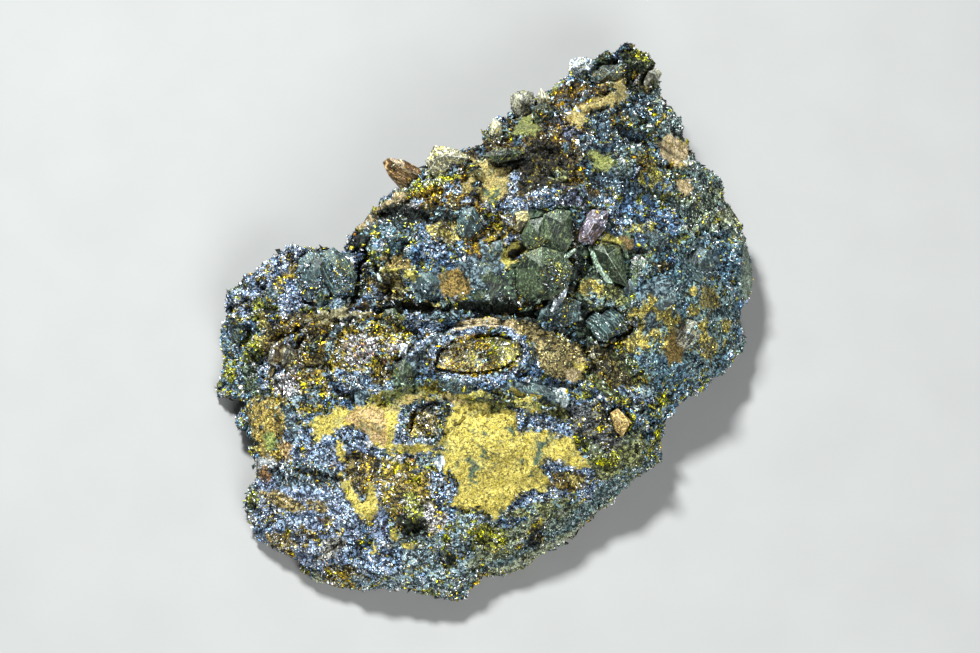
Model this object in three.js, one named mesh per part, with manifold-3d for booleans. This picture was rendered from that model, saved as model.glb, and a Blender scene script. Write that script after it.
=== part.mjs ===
// A descloizite specimen: one broken crust of intergrown crystals, about 105 mm corner to corner.
// Its display face leans towards -Y. A crevice parts the low southern shelf, with its zoned cells and
// ochre bed, from the high northern block, and large pyramidal crystals stand in sockets of the mass.
// Millimetres, +Z up, standing on the flat broken base at z = 0.
import * as THREE from "three";
import { mergeVertices } from "three/addons/utils/BufferGeometryUtils.js";
import { ConvexGeometry } from "three/addons/geometries/ConvexGeometry.js";
import { ImprovedNoise } from "three/addons/math/ImprovedNoise.js";
import Module from "manifold-3d";

const wasm = await Module();
wasm.setup();
const { degToRad, lerp, smoothstep, seededRandom } = THREE.MathUtils;

// ---------------------------------------------------------------- driving dimensions, mm
const SKETCH_LEAN = degToRad(62); // the display face is laid out on a plane whose normal is this far above -Y
const SKETCH_PIVOT = 14; // height of that plane's origin over the base
const SHOULDER = 0.955; // where the top face turns into the wall, as a share of the outline's radius
const FOOT = 0.87; // where the wall meets the base
const CRUST_GAP = 0.3; // clearance between a crust or crystal and its seat
const SPHERE_DETAIL = 12; // 20 * (detail + 1)^2 triangles over the whole mass
const TOP_SHARE = 0.64; // share of the sphere's area that becomes the top face
const WALL_SHARE = 0.27; // and the wall; the rest is the underside
const TOP_RELIEF = 3.2; // height of the crowded crystals over the top face
const WALL_RELIEF = 4.2; // and round the wall
const LUMP = 1.4; // height of the broad lumps under them
const FINEST_DETAIL = 0.4; // edges and flat steps smaller than this are merged away
const SNAP = 0.001; // vertices closer than this are one
const UNDERCUT = -3; // depth of the rough underside, cut off flat at z = 0

// ---------------------------------------------------------------- sketch plane
const sinLean = Math.sin(SKETCH_LEAN);
const cosLean = Math.cos(SKETCH_LEAN);

// A sketch point, across and up the display face, at height z over the base.
function inPlan(across, up, z) {
  return new THREE.Vector2(across, (up - cosLean * (z - SKETCH_PIVOT)) / sinLean);
}

// ---------------------------------------------------------------- outline: [across, up, height of that edge]
const OUTLINE = [
  // north tip and down the east side
  [23, 47.4, 20], [26.7, 47.3, 19], [28.5, 43.5, 17], [29.3, 39.8, 16], [31.7, 36, 15], [33.7, 32.4, 14],
  [35.3, 28.6, 13], [37.8, 25, 12], [40, 21.6, 10], [42.2, 18.2, 9], [43.4, 14.4, 8], [44.8, 10.2, 7],
  [44.8, 7.4, 6], [42.9, 4.3, 6], [43.5, 0.8, 6], [42, -3.3, 5], [40.2, -6.6, 5], [37, -10.6, 5],
  [33.2, -12.6, 4],
  // south-east side, down to the southern toe
  [30, -15, 4], [29, -19.8, 4], [27.4, -23.2, 4], [25, -27, 4], [20.2, -30.2, 4], [15, -32.6, 3],
  [10.8, -36.4, 3], [5, -39.4, 3], [-2.5, -41.5, 3], [-5, -44.8, 3], [-8.4, -45.4, 3], [-14.2, -45.1, 3],
  [-18.4, -43.4, 3], [-25, -44.1, 3], [-28.4, -42.6, 3], [-30.6, -39.6, 3],
  // south-west side
  [-35, -37.2, 3], [-40, -35.3, 3], [-42, -32.6, 3], [-39.4, -28.9, 4], [-40.3, -25.6, 4], [-38, -22.6, 4],
  [-40, -19.8, 4], [-42.2, -16.9, 5], [-39.8, -14.2, 5],
  // western lobe
  [-40.8, -11.4, 5], [-44, -10.1, 5], [-44.7, -7, 5], [-45.7, -3.8, 5], [-44.5, 0.3, 6], [-44.7, 4.4, 6],
  [-44.3, 7.3, 7], [-42.6, 9.4, 9], [-39.2, 11.1, 12], [-34.2, 12.1, 14], [-30.8, 12.8, 16],
  // north-west edge, up to the tip
  [-27.5, 14.3, 17], [-24.2, 16.9, 17], [-20, 20.3, 18], [-16.7, 22.8, 19], [-11.7, 25.3, 21],
  [-5, 27.6, 22], [-1.2, 28.6, 23], [0.2, 32.8, 22], [3.3, 35.8, 22], [7.5, 38.3, 22], [12.5, 41, 22],
  [16.7, 43.4, 21], [20, 45.4, 20],
];

// ---------------------------------------------------------------- relief: [across, up, height] of each facet's middle
const FACETS = [
  // southern rim
  [-38, -33, 7], [-32, -35.6, 9], [-24, -40.5, 8], [-15, -41.4, 9], [-7, -41.8, 8], [2, -38, 8], [10, -34, 9],
  [18.5, -28.6, 10], [25, -23.5, 11], [27.4, -17.5, 12],
  // southern shelf
  [-36, -23, 10], [-31, -26, 13], [-23, -29, 14.5], [-15, -33, 13.5], [-6.5, -29.5, 16], [1.5, -26, 17],
  [9, -27, 14.5], [17.5, -21, 15], [-14.5, -24, 17], [-23, -20.5, 17], [-31.5, -18.5, 15], [-37, -16, 11],
  [-6.5, -19.5, 20.5], [1.5, -17, 21], [10, -15.5, 20.5], [-15, -17, 20], [-23, -15, 19.5], [18, -16, 17.5],
  [24.5, -17, 14.5], [7, -21.5, 18.5],
  // zoned cells between the shelf and the crevice
  [-37, -8, 12.5], [-32, -9, 18], [-31, -4, 19], [-23, -4, 24], [-20, -8.5, 22.5], [-15, -2.5, 25],
  [-6.5, -2.5, 26], [1.5, -3, 26.5], [9.5, -4, 25.5], [15, -6.5, 22.5], [-26.5, -11, 19.5], [-15, -11, 22.5],
  [-6.5, -9.5, 23.5], [2, -10.5, 22.5], [11, -11, 20.5], [19, -10, 18.5],
  [-27, 1, 22], [-15, 2.7, 25.5], [-6.5, 2.2, 27], [1.5, 1.5, 27], [10, 0, 26.5], [17, -3, 23],
  // western lobe and its dome
  [-42, 4, 9], [-41, -3, 9.5], [-38, 6.5, 15], [-33.5, 8, 19], [-37.5, -1.5, 14], [-31.5, 1.5, 19],
  [-35.5, -5, 14.5], [-42, -9.5, 6], [-27.5, 8.5, 23.5], [-24.5, 6, 21], [-24, 10.5, 19],
  // northern block, from the crevice's lip to its crest
  [-18, 11, 25], [-15, 14.5, 27], [-10, 9.5, 27.5], [-7, 7, 26.5], [-10, 14.5, 30], [-3.5, 12.5, 31],
  [1.5, 7.5, 29], [1.5, 16, 33], [-3.5, 18.5, 33], [-11.5, 19.5, 28.5], [-17, 18, 24], [-6.5, 23, 31],
  [-1.5, 24.5, 32], [1.5, 26.5, 33], [5, 21, 35], [10, 22.5, 36], [15, 27.5, 35], [11.5, 32.5, 33],
  [8, 34.5, 29], [18.5, 34.5, 33], [21.5, 39.5, 29], [25, 44.5, 24], [18, 41, 26], [27.5, 39.5, 22],
  [31, 32.5, 22], [25, 32.5, 31], [21.5, 24.5, 35], [28.5, 24.5, 29], [33.5, 22.5, 24], [38, 17.5, 18],
  [41, 12.5, 14], [43, 7.5, 10],
  // crystal field in the middle
  [11.5, 16, 35], [18.5, 16, 33], [8, 11, 31], [15, 9.5, 29], [21.5, 11, 30], [25, 14.5, 30], [11.5, 4.5, 26],
  [18.5, 4.5, 26], [25, 7.5, 28], [21.5, 1, 24], [16.5, -0.5, 22],
  // eastern face
  [30, 12.5, 26], [35, 11, 21], [40, 6, 14], [31.5, 4.5, 23], [26.5, 2.5, 25], [35, -2, 17], [40, -2, 11],
  [26.5, -4, 21], [31.5, -7.5, 16], [36.5, -8, 11.5], [25, -9, 17], [28.5, -12.5, 12.5], [21.5, -12.5, 17],
];
const FACET_NEIGHBOURS = 6; // each facet's slope is fitted to this many of the nearest others
const FACET_SHARPNESS = 4; // how abruptly one facet gives way to the next

// The facets as planes over the base.
const facets = FACETS.map(([across, up, z]) => {
  const { x, y } = inPlan(across, up, z);
  return { x, y, z };
});
for (const facet of facets) {
  const near = facets
    .filter((other) => other !== facet)
    .sort((p, q) => Math.hypot(p.x - facet.x, p.y - facet.y) - Math.hypot(q.x - facet.x, q.y - facet.y))
    .slice(0, FACET_NEIGHBOURS);
  let [xx, xy, yy, xz, yz] = [0, 0, 0, 0, 0];
  for (const other of near) {
    const [dx, dy, dz] = [other.x - facet.x, other.y - facet.y, other.z - facet.z];
    xx += dx * dx;
    xy += dx * dy;
    yy += dy * dy;
    xz += dx * dz;
    yz += dy * dz;
  }
  const determinant = xx * yy - xy * xy;
  facet.slopeX = (xz * yy - yz * xy) / determinant;
  facet.slopeY = (yz * xx - xz * xy) / determinant;
}

// Height of the mass before its roughness, blended between the facets.
function relief(x, y) {
  let sum = 0;
  let total = 0;
  for (const f of facets) {
    const [dx, dy] = [x - f.x, y - f.y];
    const weight = 1 / (dx * dx + dy * dy + 0.6) ** FACET_SHARPNESS;
    sum += weight * (f.z + 0.9 * (f.slopeX * dx + f.slopeY * dy));
    total += weight;
  }
  return sum / total;
}

// The point of the relief seen at a sketch point, and the outward normal there.
function seat(across, up) {
  let z = SKETCH_PIVOT;
  let plan = inPlan(across, up, z);
  for (let i = 0; i < 12; i++) {
    z = lerp(z, relief(plan.x, plan.y), 0.6);
    plan = inPlan(across, up, z);
  }
  const step = 2;
  const slopeX = (relief(plan.x + step, plan.y) - relief(plan.x - step, plan.y)) / (2 * step);
  const slopeY = (relief(plan.x, plan.y + step) - relief(plan.x, plan.y - step)) / (2 * step);
  return {
    point: new THREE.Vector3(plan.x, plan.y, z),
    normal: new THREE.Vector3(-slopeX, -slopeY, 1).normalize(),
  };
}

// ---------------------------------------------------------------- roughness of broken crystal crust
const noise = new ImprovedNoise();

function roughness(point, wavelength) {
  return noise.noise(point.x / wavelength + 7.3, point.y / wavelength + 1.9, point.z / wavelength + 4.1);
}

// A hash of a lattice cell, from 0 to 1.
function cellHash(i, j, k, salt) {
  return seededRandom(i * 7349 + j * 1931 + k * 5003 + salt * 977 + 90001);
}

// Pyramids crowded together: the highest of the octahedra round the cells of a jittered lattice, 0 to 1.
function druse(point, spacing) {
  const [x, y, z] = [point.x / spacing, point.y / spacing, point.z / spacing];
  const [ci, cj, ck] = [Math.floor(x), Math.floor(y), Math.floor(z)];
  let highest = 0;
  for (let i = ci - 1; i <= ci + 1; i++) {
    for (let j = cj - 1; j <= cj + 1; j++) {
      for (let k = ck - 1; k <= ck + 1; k++) {
        const dx = Math.abs(x - i - cellHash(i, j, k, 1));
        const dy = Math.abs(y - j - cellHash(i, j, k, 2));
        const dz = Math.abs(z - k - cellHash(i, j, k, 3));
        highest = Math.max(highest, 0.6 + 0.4 * cellHash(i, j, k, 4) - 0.75 * (dx + dy + dz));
      }
    }
  }
  return highest;
}

// ---------------------------------------------------------------- solids
// A closed solid from a three.js geometry, moved by a matrix.
function solid(geometry, matrix = new THREE.Matrix4()) {
  const bare = new THREE.BufferGeometry();
  const flat = geometry.index ? geometry.toNonIndexed() : geometry;
  bare.setAttribute("position", flat.getAttribute("position").clone());
  const merged = mergeVertices(bare.applyMatrix4(matrix), SNAP);
  return new wasm.Manifold(
    new wasm.Mesh({
      numProp: 3,
      vertProperties: merged.getAttribute("position").array,
      triVerts: new Uint32Array(merged.index.array),
    }),
  );
}

function union(solids) {
  return solids.reduce((all, next) => all.add(next));
}

function geometryOf(body) {
  const { vertProperties, triVerts } = body.getMesh();
  const geometry = new THREE.BufferGeometry();
  geometry.setAttribute("position", new THREE.BufferAttribute(new Float32Array(vertProperties), 3));
  geometry.setIndex(new THREE.BufferAttribute(new Uint32Array(triVerts), 1));
  return geometry;
}

// The one main body of a solid, with vertices that nearly touch made one.
function mainBody(body, place) {
  const pieces = solid(geometryOf(body), place).decompose();
  return pieces.reduce((best, next) => (next.volume() > best.volume() ? next : best));
}

// A body in its place. Merging can cut a sliver loose, so it is done until none is left.
function settled(body, place) {
  let [last, next] = [body, mainBody(body, place)];
  while (next.numTri() !== last.numTri()) [last, next] = [next, mainBody(next)];
  return next;
}

// A matrix that takes local Z to an axis, turned about it by a spin.
function along(origin, axis, spin) {
  const turn = new THREE.Quaternion().setFromUnitVectors(new THREE.Vector3(0, 0, 1), axis.clone().normalize());
  turn.multiply(new THREE.Quaternion().setFromAxisAngle(new THREE.Vector3(0, 0, 1), spin));
  return new THREE.Matrix4().compose(origin, turn, new THREE.Vector3(1, 1, 1));
}

// A matrix whose local X runs across the display face and whose local Z is the face's normal at a seat.
function onFace({ point, normal }, lift = 0) {
  const z = normal.clone();
  const y = new THREE.Vector3(0, 1, 0).addScaledVector(z, -z.y).normalize();
  const x = new THREE.Vector3().crossVectors(y, z);
  return new THREE.Matrix4().makeBasis(x, y, z).setPosition(point.clone().addScaledVector(z, lift));
}

// ---------------------------------------------------------------- the mass
const rim = OUTLINE.map(([across, up, z]) => inPlan(across, up, z))
  .map((p) => ({ angle: Math.atan2(p.y, p.x), radius: p.length() }))
  .sort((p, q) => p.angle - q.angle);

// Distance from the middle to the outline in a direction.
function rimRadius(angle) {
  const after = rim.findIndex((p) => p.angle > angle);
  const high = after < 0 ? rim[0] : rim[after];
  const low = rim[(after <= 0 ? rim.length : after) - 1];
  const turn = 2 * Math.PI;
  const span = (high.angle - low.angle + turn) % turn;
  return lerp(low.radius, high.radius, ((angle - low.angle + turn) % turn) / span);
}

// A point of the sphere, taken to the surface of the mass.
function massPoint(direction) {
  const area = (1 - direction.z) / 2; // share of the sphere's area above this point
  const angle = Math.atan2(direction.y, direction.x);
  const radius = rimRadius(angle);
  const at = (share) => new THREE.Vector2(Math.cos(angle), Math.sin(angle)).multiplyScalar(share * radius);
  if (area < TOP_SHARE) {
    const share = SHOULDER * Math.sqrt(area / TOP_SHARE);
    const plan = at(share);
    const point = new THREE.Vector3(plan.x, plan.y, relief(plan.x, plan.y));
    point.z += TOP_RELIEF * (druse(point, 7) - 0.5) + LUMP * roughness(point, 11);
    return point;
  }
  const shoulder = at(SHOULDER);
  const top = relief(shoulder.x, shoulder.y);
  const down = Math.min((area - TOP_SHARE) / WALL_SHARE, 1);
  const bulge = Math.sin(Math.PI * Math.min(1, down * 1.15)) * (1 - SHOULDER);
  const narrowing = smoothstep(down, 0.55, 1) * (SHOULDER - FOOT);
  const wall = at(SHOULDER + bulge - narrowing);
  const point = new THREE.Vector3(wall.x, wall.y, lerp(top, UNDERCUT, down));
  const under = Math.max(0, (area - TOP_SHARE - WALL_SHARE) / (1 - TOP_SHARE - WALL_SHARE));
  const swell = WALL_RELIEF * (druse(point, 8) - 0.35) + LUMP * roughness(point, 11);
  const share = (1 + (swell * Math.sin(Math.PI * down)) / radius) * Math.sqrt(1 - under);
  return new THREE.Vector3(point.x * share, point.y * share, point.z);
}

function mass() {
  const bare = new THREE.IcosahedronGeometry(1, SPHERE_DETAIL);
  bare.deleteAttribute("normal");
  bare.deleteAttribute("uv");
  const sphere = mergeVertices(bare, 1e-5);
  const position = sphere.getAttribute("position");
  const direction = new THREE.Vector3();
  for (let i = 0; i < position.count; i++) {
    const point = massPoint(direction.fromBufferAttribute(position, i).normalize());
    position.setXYZ(i, point.x, point.y, point.z);
  }
  const table = solid(new THREE.BoxGeometry(200, 200, 40), new THREE.Matrix4().makeTranslation(0, 0, -20));
  return solid(sphere).subtract(table);
}

// ---------------------------------------------------------------- crystals
// A crystal is the hull of the corners of its face, the ridge that stands over them, and its root: the
// face's corners drawn in and carried down into the mass. Corners are [across, up, lift], where lift is
// the height over the crystal's seat, straight out of the sketch plane. A root is a shift in the same terms.
const ROOT_TAPER = 0.7;
const outOfSketch = new THREE.Vector3(0, -cosLean, sinLean);
const upSketch = new THREE.Vector3(0, sinLean, cosLean);

function middleOf(face) {
  const middle = new THREE.Vector2();
  for (const [across, up] of face) middle.add(new THREE.Vector2(across, up).divideScalar(face.length));
  return middle;
}

// How far the seats of a group of crystals stand out of the sketch plane, on average.
function seatDepth(specs) {
  const depths = specs.map(({ face }) => {
    const { x, y } = middleOf(face);
    return seat(x, y).point.sub(new THREE.Vector3(0, 0, SKETCH_PIVOT)).dot(outOfSketch);
  });
  return depths.reduce((sum, depth) => sum + depth, 0) / depths.length;
}

function crystal({ face, ridge, root }, depth, gap = 0) {
  const centre = middleOf(face);
  const reach = Math.min(...face.map(([across, up]) => Math.hypot(across - centre.x, up - centre.y)));
  const scale = 1 + (1.6 * gap) / reach;
  const place = (across, up, lift) =>
    new THREE.Vector3(0, 0, SKETCH_PIVOT)
      .addScaledVector(new THREE.Vector3(1, 0, 0), centre.x + scale * (across - centre.x))
      .addScaledVector(upSketch, centre.y + scale * (up - centre.y))
      .addScaledVector(outOfSketch, depth + lift);
  const taper = (value, middle) => middle + ROOT_TAPER * (value - middle);
  const points = [...face, ...ridge].map(([across, up, lift]) => place(across, up, lift + gap));
  for (const [across, up] of face) {
    points.push(place(taper(across, centre.x) + root[0], taper(up, centre.y) + root[1], root[2] - 2 * gap));
  }
  return solid(new ConvexGeometry(points));
}

// Crystals that are pieces of their own, alone or grown into one another.
const CRYSTALS = {
  rim_crystal_1: [
    {
      face: [
        [-18, 27.4, 0], [-17, 28.2, 0.6], [-14.3, 27.8, 1], [-11.7, 26.4, 0.6], [-10.8, 24.9, 0],
        [-13.3, 24.2, -0.5], [-15.7, 24.1, -0.5], [-17, 25.2, -0.3],
      ],
      ridge: [[-14.3, 26.1, 1.6]],
      root: [2, -3.2, -2.6],
    },
  ],
  rim_crystal_2: [
    {
      face: [
        [-10.7, 27.4, 0], [-9.3, 30.1, 0.4], [-7.3, 29.9, 0.6], [-4.8, 29.1, 0.6], [-3.3, 27.9, 0.2],
        [-4.7, 26.6, 0], [-7.3, 26.1, 0], [-10, 25.9, -0.2],
      ],
      ridge: [[-7.5, 28.4, 1.7], [-8.8, 27.8, 1.4]],
      root: [0.6, -3.2, -2.6],
    },
  ],
  rim_crystal_3: [
    {
      face: [
        [-0.2, 32.6, 0], [0.5, 34.8, 0.3], [1.8, 33.9, 0.6], [1.7, 32.1, 0.3], [0, 30.4, 0],
      ],
      ridge: [[0.8, 32.9, 1.1]],
      root: [0.8, -2.2, -2.4],
    },
  ],
  rim_crystal_4: [
    {
      face: [
        [3.3, 38.9, 0], [5.5, 39.8, 0.3], [7.3, 39.4, 0.6], [7.5, 36.9, 0.4], [4.8, 35.4, 0],
        [3.5, 36.6, 0],
      ],
      ridge: [[5.5, 37.9, 1.5]],
      root: [0.8, -2.6, -2.4],
    },
  ],
  rim_crystal_5: [
    {
      face: [
        [7.8, 38.2, 0.2], [8.5, 40.1, 0.4], [10.3, 38.2, 0.5], [9.5, 37.2, 0.2], [8.2, 37.1, 0],
      ],
      ridge: [[8.8, 38.4, 1.2]],
      root: [0.2, -2.4, -2.2],
    },
  ],
  rim_crystal_6: [
    {
      face: [
        [13.2, 43.1, 0], [13.5, 45.1, 0.3], [15.3, 45.6, 0.4], [17.5, 45.2, 0.3], [16.7, 43.2, 0.2],
        [14.5, 42.4, 0],
      ],
      ridge: [[15.2, 44.2, 1.5]],
      root: [0.6, -2.8, -2.4],
    },
  ],
  rim_crystal_7: [
    {
      face: [
        [26.8, 43.2, 0], [28.2, 43.9, 0.3], [29.2, 42.9, 0.2], [28.5, 41.4, 0], [27.2, 41.8, 0],
      ],
      ridge: [[28, 42.8, 1]],
      root: [-1.2, -1.8, -2.2],
    },
  ],
  green_crystals: [
    {
      face: [
        [4.2, 9.4, 0], [5.5, 11.9, 0.4], [8.5, 13.1, 0.8], [12, 12.1, 0.6], [13.7, 9.8, 0.2],
        [12.7, 6.4, 0], [9.7, 4.4, 0], [6.3, 4.1, 0], [4.3, 6.2, 0],
      ],
      ridge: [[8.5, 9.8, 3.2], [9.8, 7.6, 2.6]],
      root: [0, 0, -3.6],
    },
    {
      face: [
        [8.8, 18.4, 0], [11, 19.2, 0.4], [13.3, 18.9, 0.6], [13.7, 14.4, 0.4], [12.5, 12.2, 0.2],
        [9.8, 12.4, 0.2], [8, 14.4, 0],
      ],
      ridge: [[12, 16.8, 2.4], [10.5, 14.2, 2.2]],
      root: [0, 0, -3],
    },
    {
      face: [
        [5, 14.8, 0], [6.3, 17.4, 0.3], [8.8, 17.9, 0.4], [10, 15.1, 0.3], [8.3, 12.4, 0], [6, 12.8, 0],
      ],
      ridge: [[7.7, 15.4, 1.6]],
      root: [0, 0, -3],
    },
  ],
  shaded_crystals: [
    {
      face: [
        [7.2, 2.2, 0], [9.5, 3.9, 0.3], [13, 4.9, 0.5], [15, 3.9, 0.3], [14.5, 0.9, 0], [11.8, -0.4, 0],
        [9.2, 0.2, 0],
      ],
      ridge: [[12, 3.1, 2], [10.3, 1.9, 1.4]],
      root: [0, 0, -3],
    },
    {
      face: [
        [9.5, 3.9, 0.8], [10.8, 5.9, 1.4], [12.7, 6.6, 1.6], [11.8, 3.9, 1.2], [10.2, 2.4, 0.6],
      ],
      ridge: [[11.2, 4.6, 2.6]],
      root: [0, 0, -3.2],
    },
  ],
  spearhead_crystal: [
    {
      face: [
        [16.2, 13.2, 0], [18, 14.1, 0.4], [21.2, 13.1, 0.6], [22, 10.4, 0.5], [22.7, 6.4, -0.2],
        [19.3, 7.8, 0], [17, 9.8, 0],
      ],
      ridge: [[19.2, 11.8, 2.6], [20.7, 9.4, 2.2]],
      root: [0, 0, -3.6],
    },
  ],
  lilac_crystal: [
    {
      face: [
        [14.5, 13.9, 0], [14.7, 17.4, 0.4], [16.8, 19.2, 0.4], [19.5, 18.9, 0.3], [19, 16.1, 0.2],
        [16.7, 13.4, 0],
      ],
      ridge: [[17, 16.9, 2.2], [16, 15.1, 1.8]],
      root: [0, 0, -3],
    },
  ],
  striped_crystals: [
    {
      face: [
        [15.7, 0.9, 0], [17.3, 2.6, 0.5], [18.5, 1.8, 0.8], [20.3, -0.9, 0.4], [19.5, -2.4, 0],
        [17.8, -2.4, 0],
      ],
      ridge: [[17.8, 0.8, 1.8], [19.2, -1.2, 1.6]],
      root: [0, 0, -3],
    },
    {
      face: [
        [17.7, 1.4, 0], [19.8, 3.2, 0.6], [21.8, 1.8, 0.8], [22.7, -0.6, 0.4], [19.7, -1.9, 0],
      ],
      ridge: [[20, 1.1, 2]],
      root: [0, 0, -3],
    },
  ],
  dome_crystals: [
    {
      face: [
        [-31.7, 5.8, 0], [-31.3, 9.4, 0.4], [-29.5, 11.9, 0.4], [-27.3, 11.4, 0.8], [-26.7, 7.8, 0.6],
        [-28, 4.4, 0.2], [-30.3, 4.1, 0],
      ],
      ridge: [[-29.2, 8.8, 2.2]],
      root: [0, 0, -3.2],
    },
    {
      face: [
        [-28, 12.1, 0.2], [-26, 13.2, 0.4], [-23.7, 11.4, 0.6], [-22, 8.4, 0.3], [-22.7, 5.1, 0],
        [-25.7, 4.4, 0.2], [-27.2, 7.4, 0.6],
      ],
      ridge: [[-25.2, 9.8, 2.6], [-24.2, 7.1, 2]],
      root: [0, 0, -3.2],
    },
    {
      face: [
        [-32.3, 8.4, 0], [-31.5, 11.4, 0.2], [-29, 12.9, 0.2], [-28, 11.4, 0.4], [-29.7, 9.1, 0.4],
      ],
      ridge: [[-30.2, 10.4, 1.2]],
      root: [0, 0, -2.6],
    },
  ],
  wedge_crystal_1: [
    {
      face: [
        [6.8, 36.6, 0], [9.2, 37.4, 0.5], [12.3, 35.8, 0.3], [10.5, 33.8, 0.1], [7.8, 32.9, 0],
      ],
      ridge: [[9.5, 35.8, 2]],
      root: [0, 0, -2.8],
    },
  ],
  wedge_crystal_2: [
    {
      face: [
        [17, 42.2, 0], [18.8, 43.9, 0.4], [22, 44.2, 0.5], [23, 42.8, 0.2], [20.5, 41.1, 0],
        [17.8, 40.8, 0],
      ],
      ridge: [[20.3, 42.8, 1.8]],
      root: [0, 0, -2.8],
    },
  ],
  blade_crystal: [
    {
      face: [
        [-1.2, 28.2, 0], [1, 29.6, 0.3], [3.7, 29.4, 0.5], [6, 28.9, 0.2], [3.8, 27.6, 0],
        [1.2, 26.9, 0],
      ],
      ridge: [[2.7, 28.4, 1.4]],
      root: [0, 0, -2.6],
    },
  ],
  orange_crystal: [
    {
      face: [
        [19.7, -14.2, 0.1], [21, -13.4, 0.3], [23.2, -15.6, 0.3], [21.8, -18.2, 0], [20.5, -17.1, 0],
      ],
      ridge: [[21.3, -15.6, 1.5]],
      root: [0, 0, -2.6],
    },
  ],
};

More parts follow.
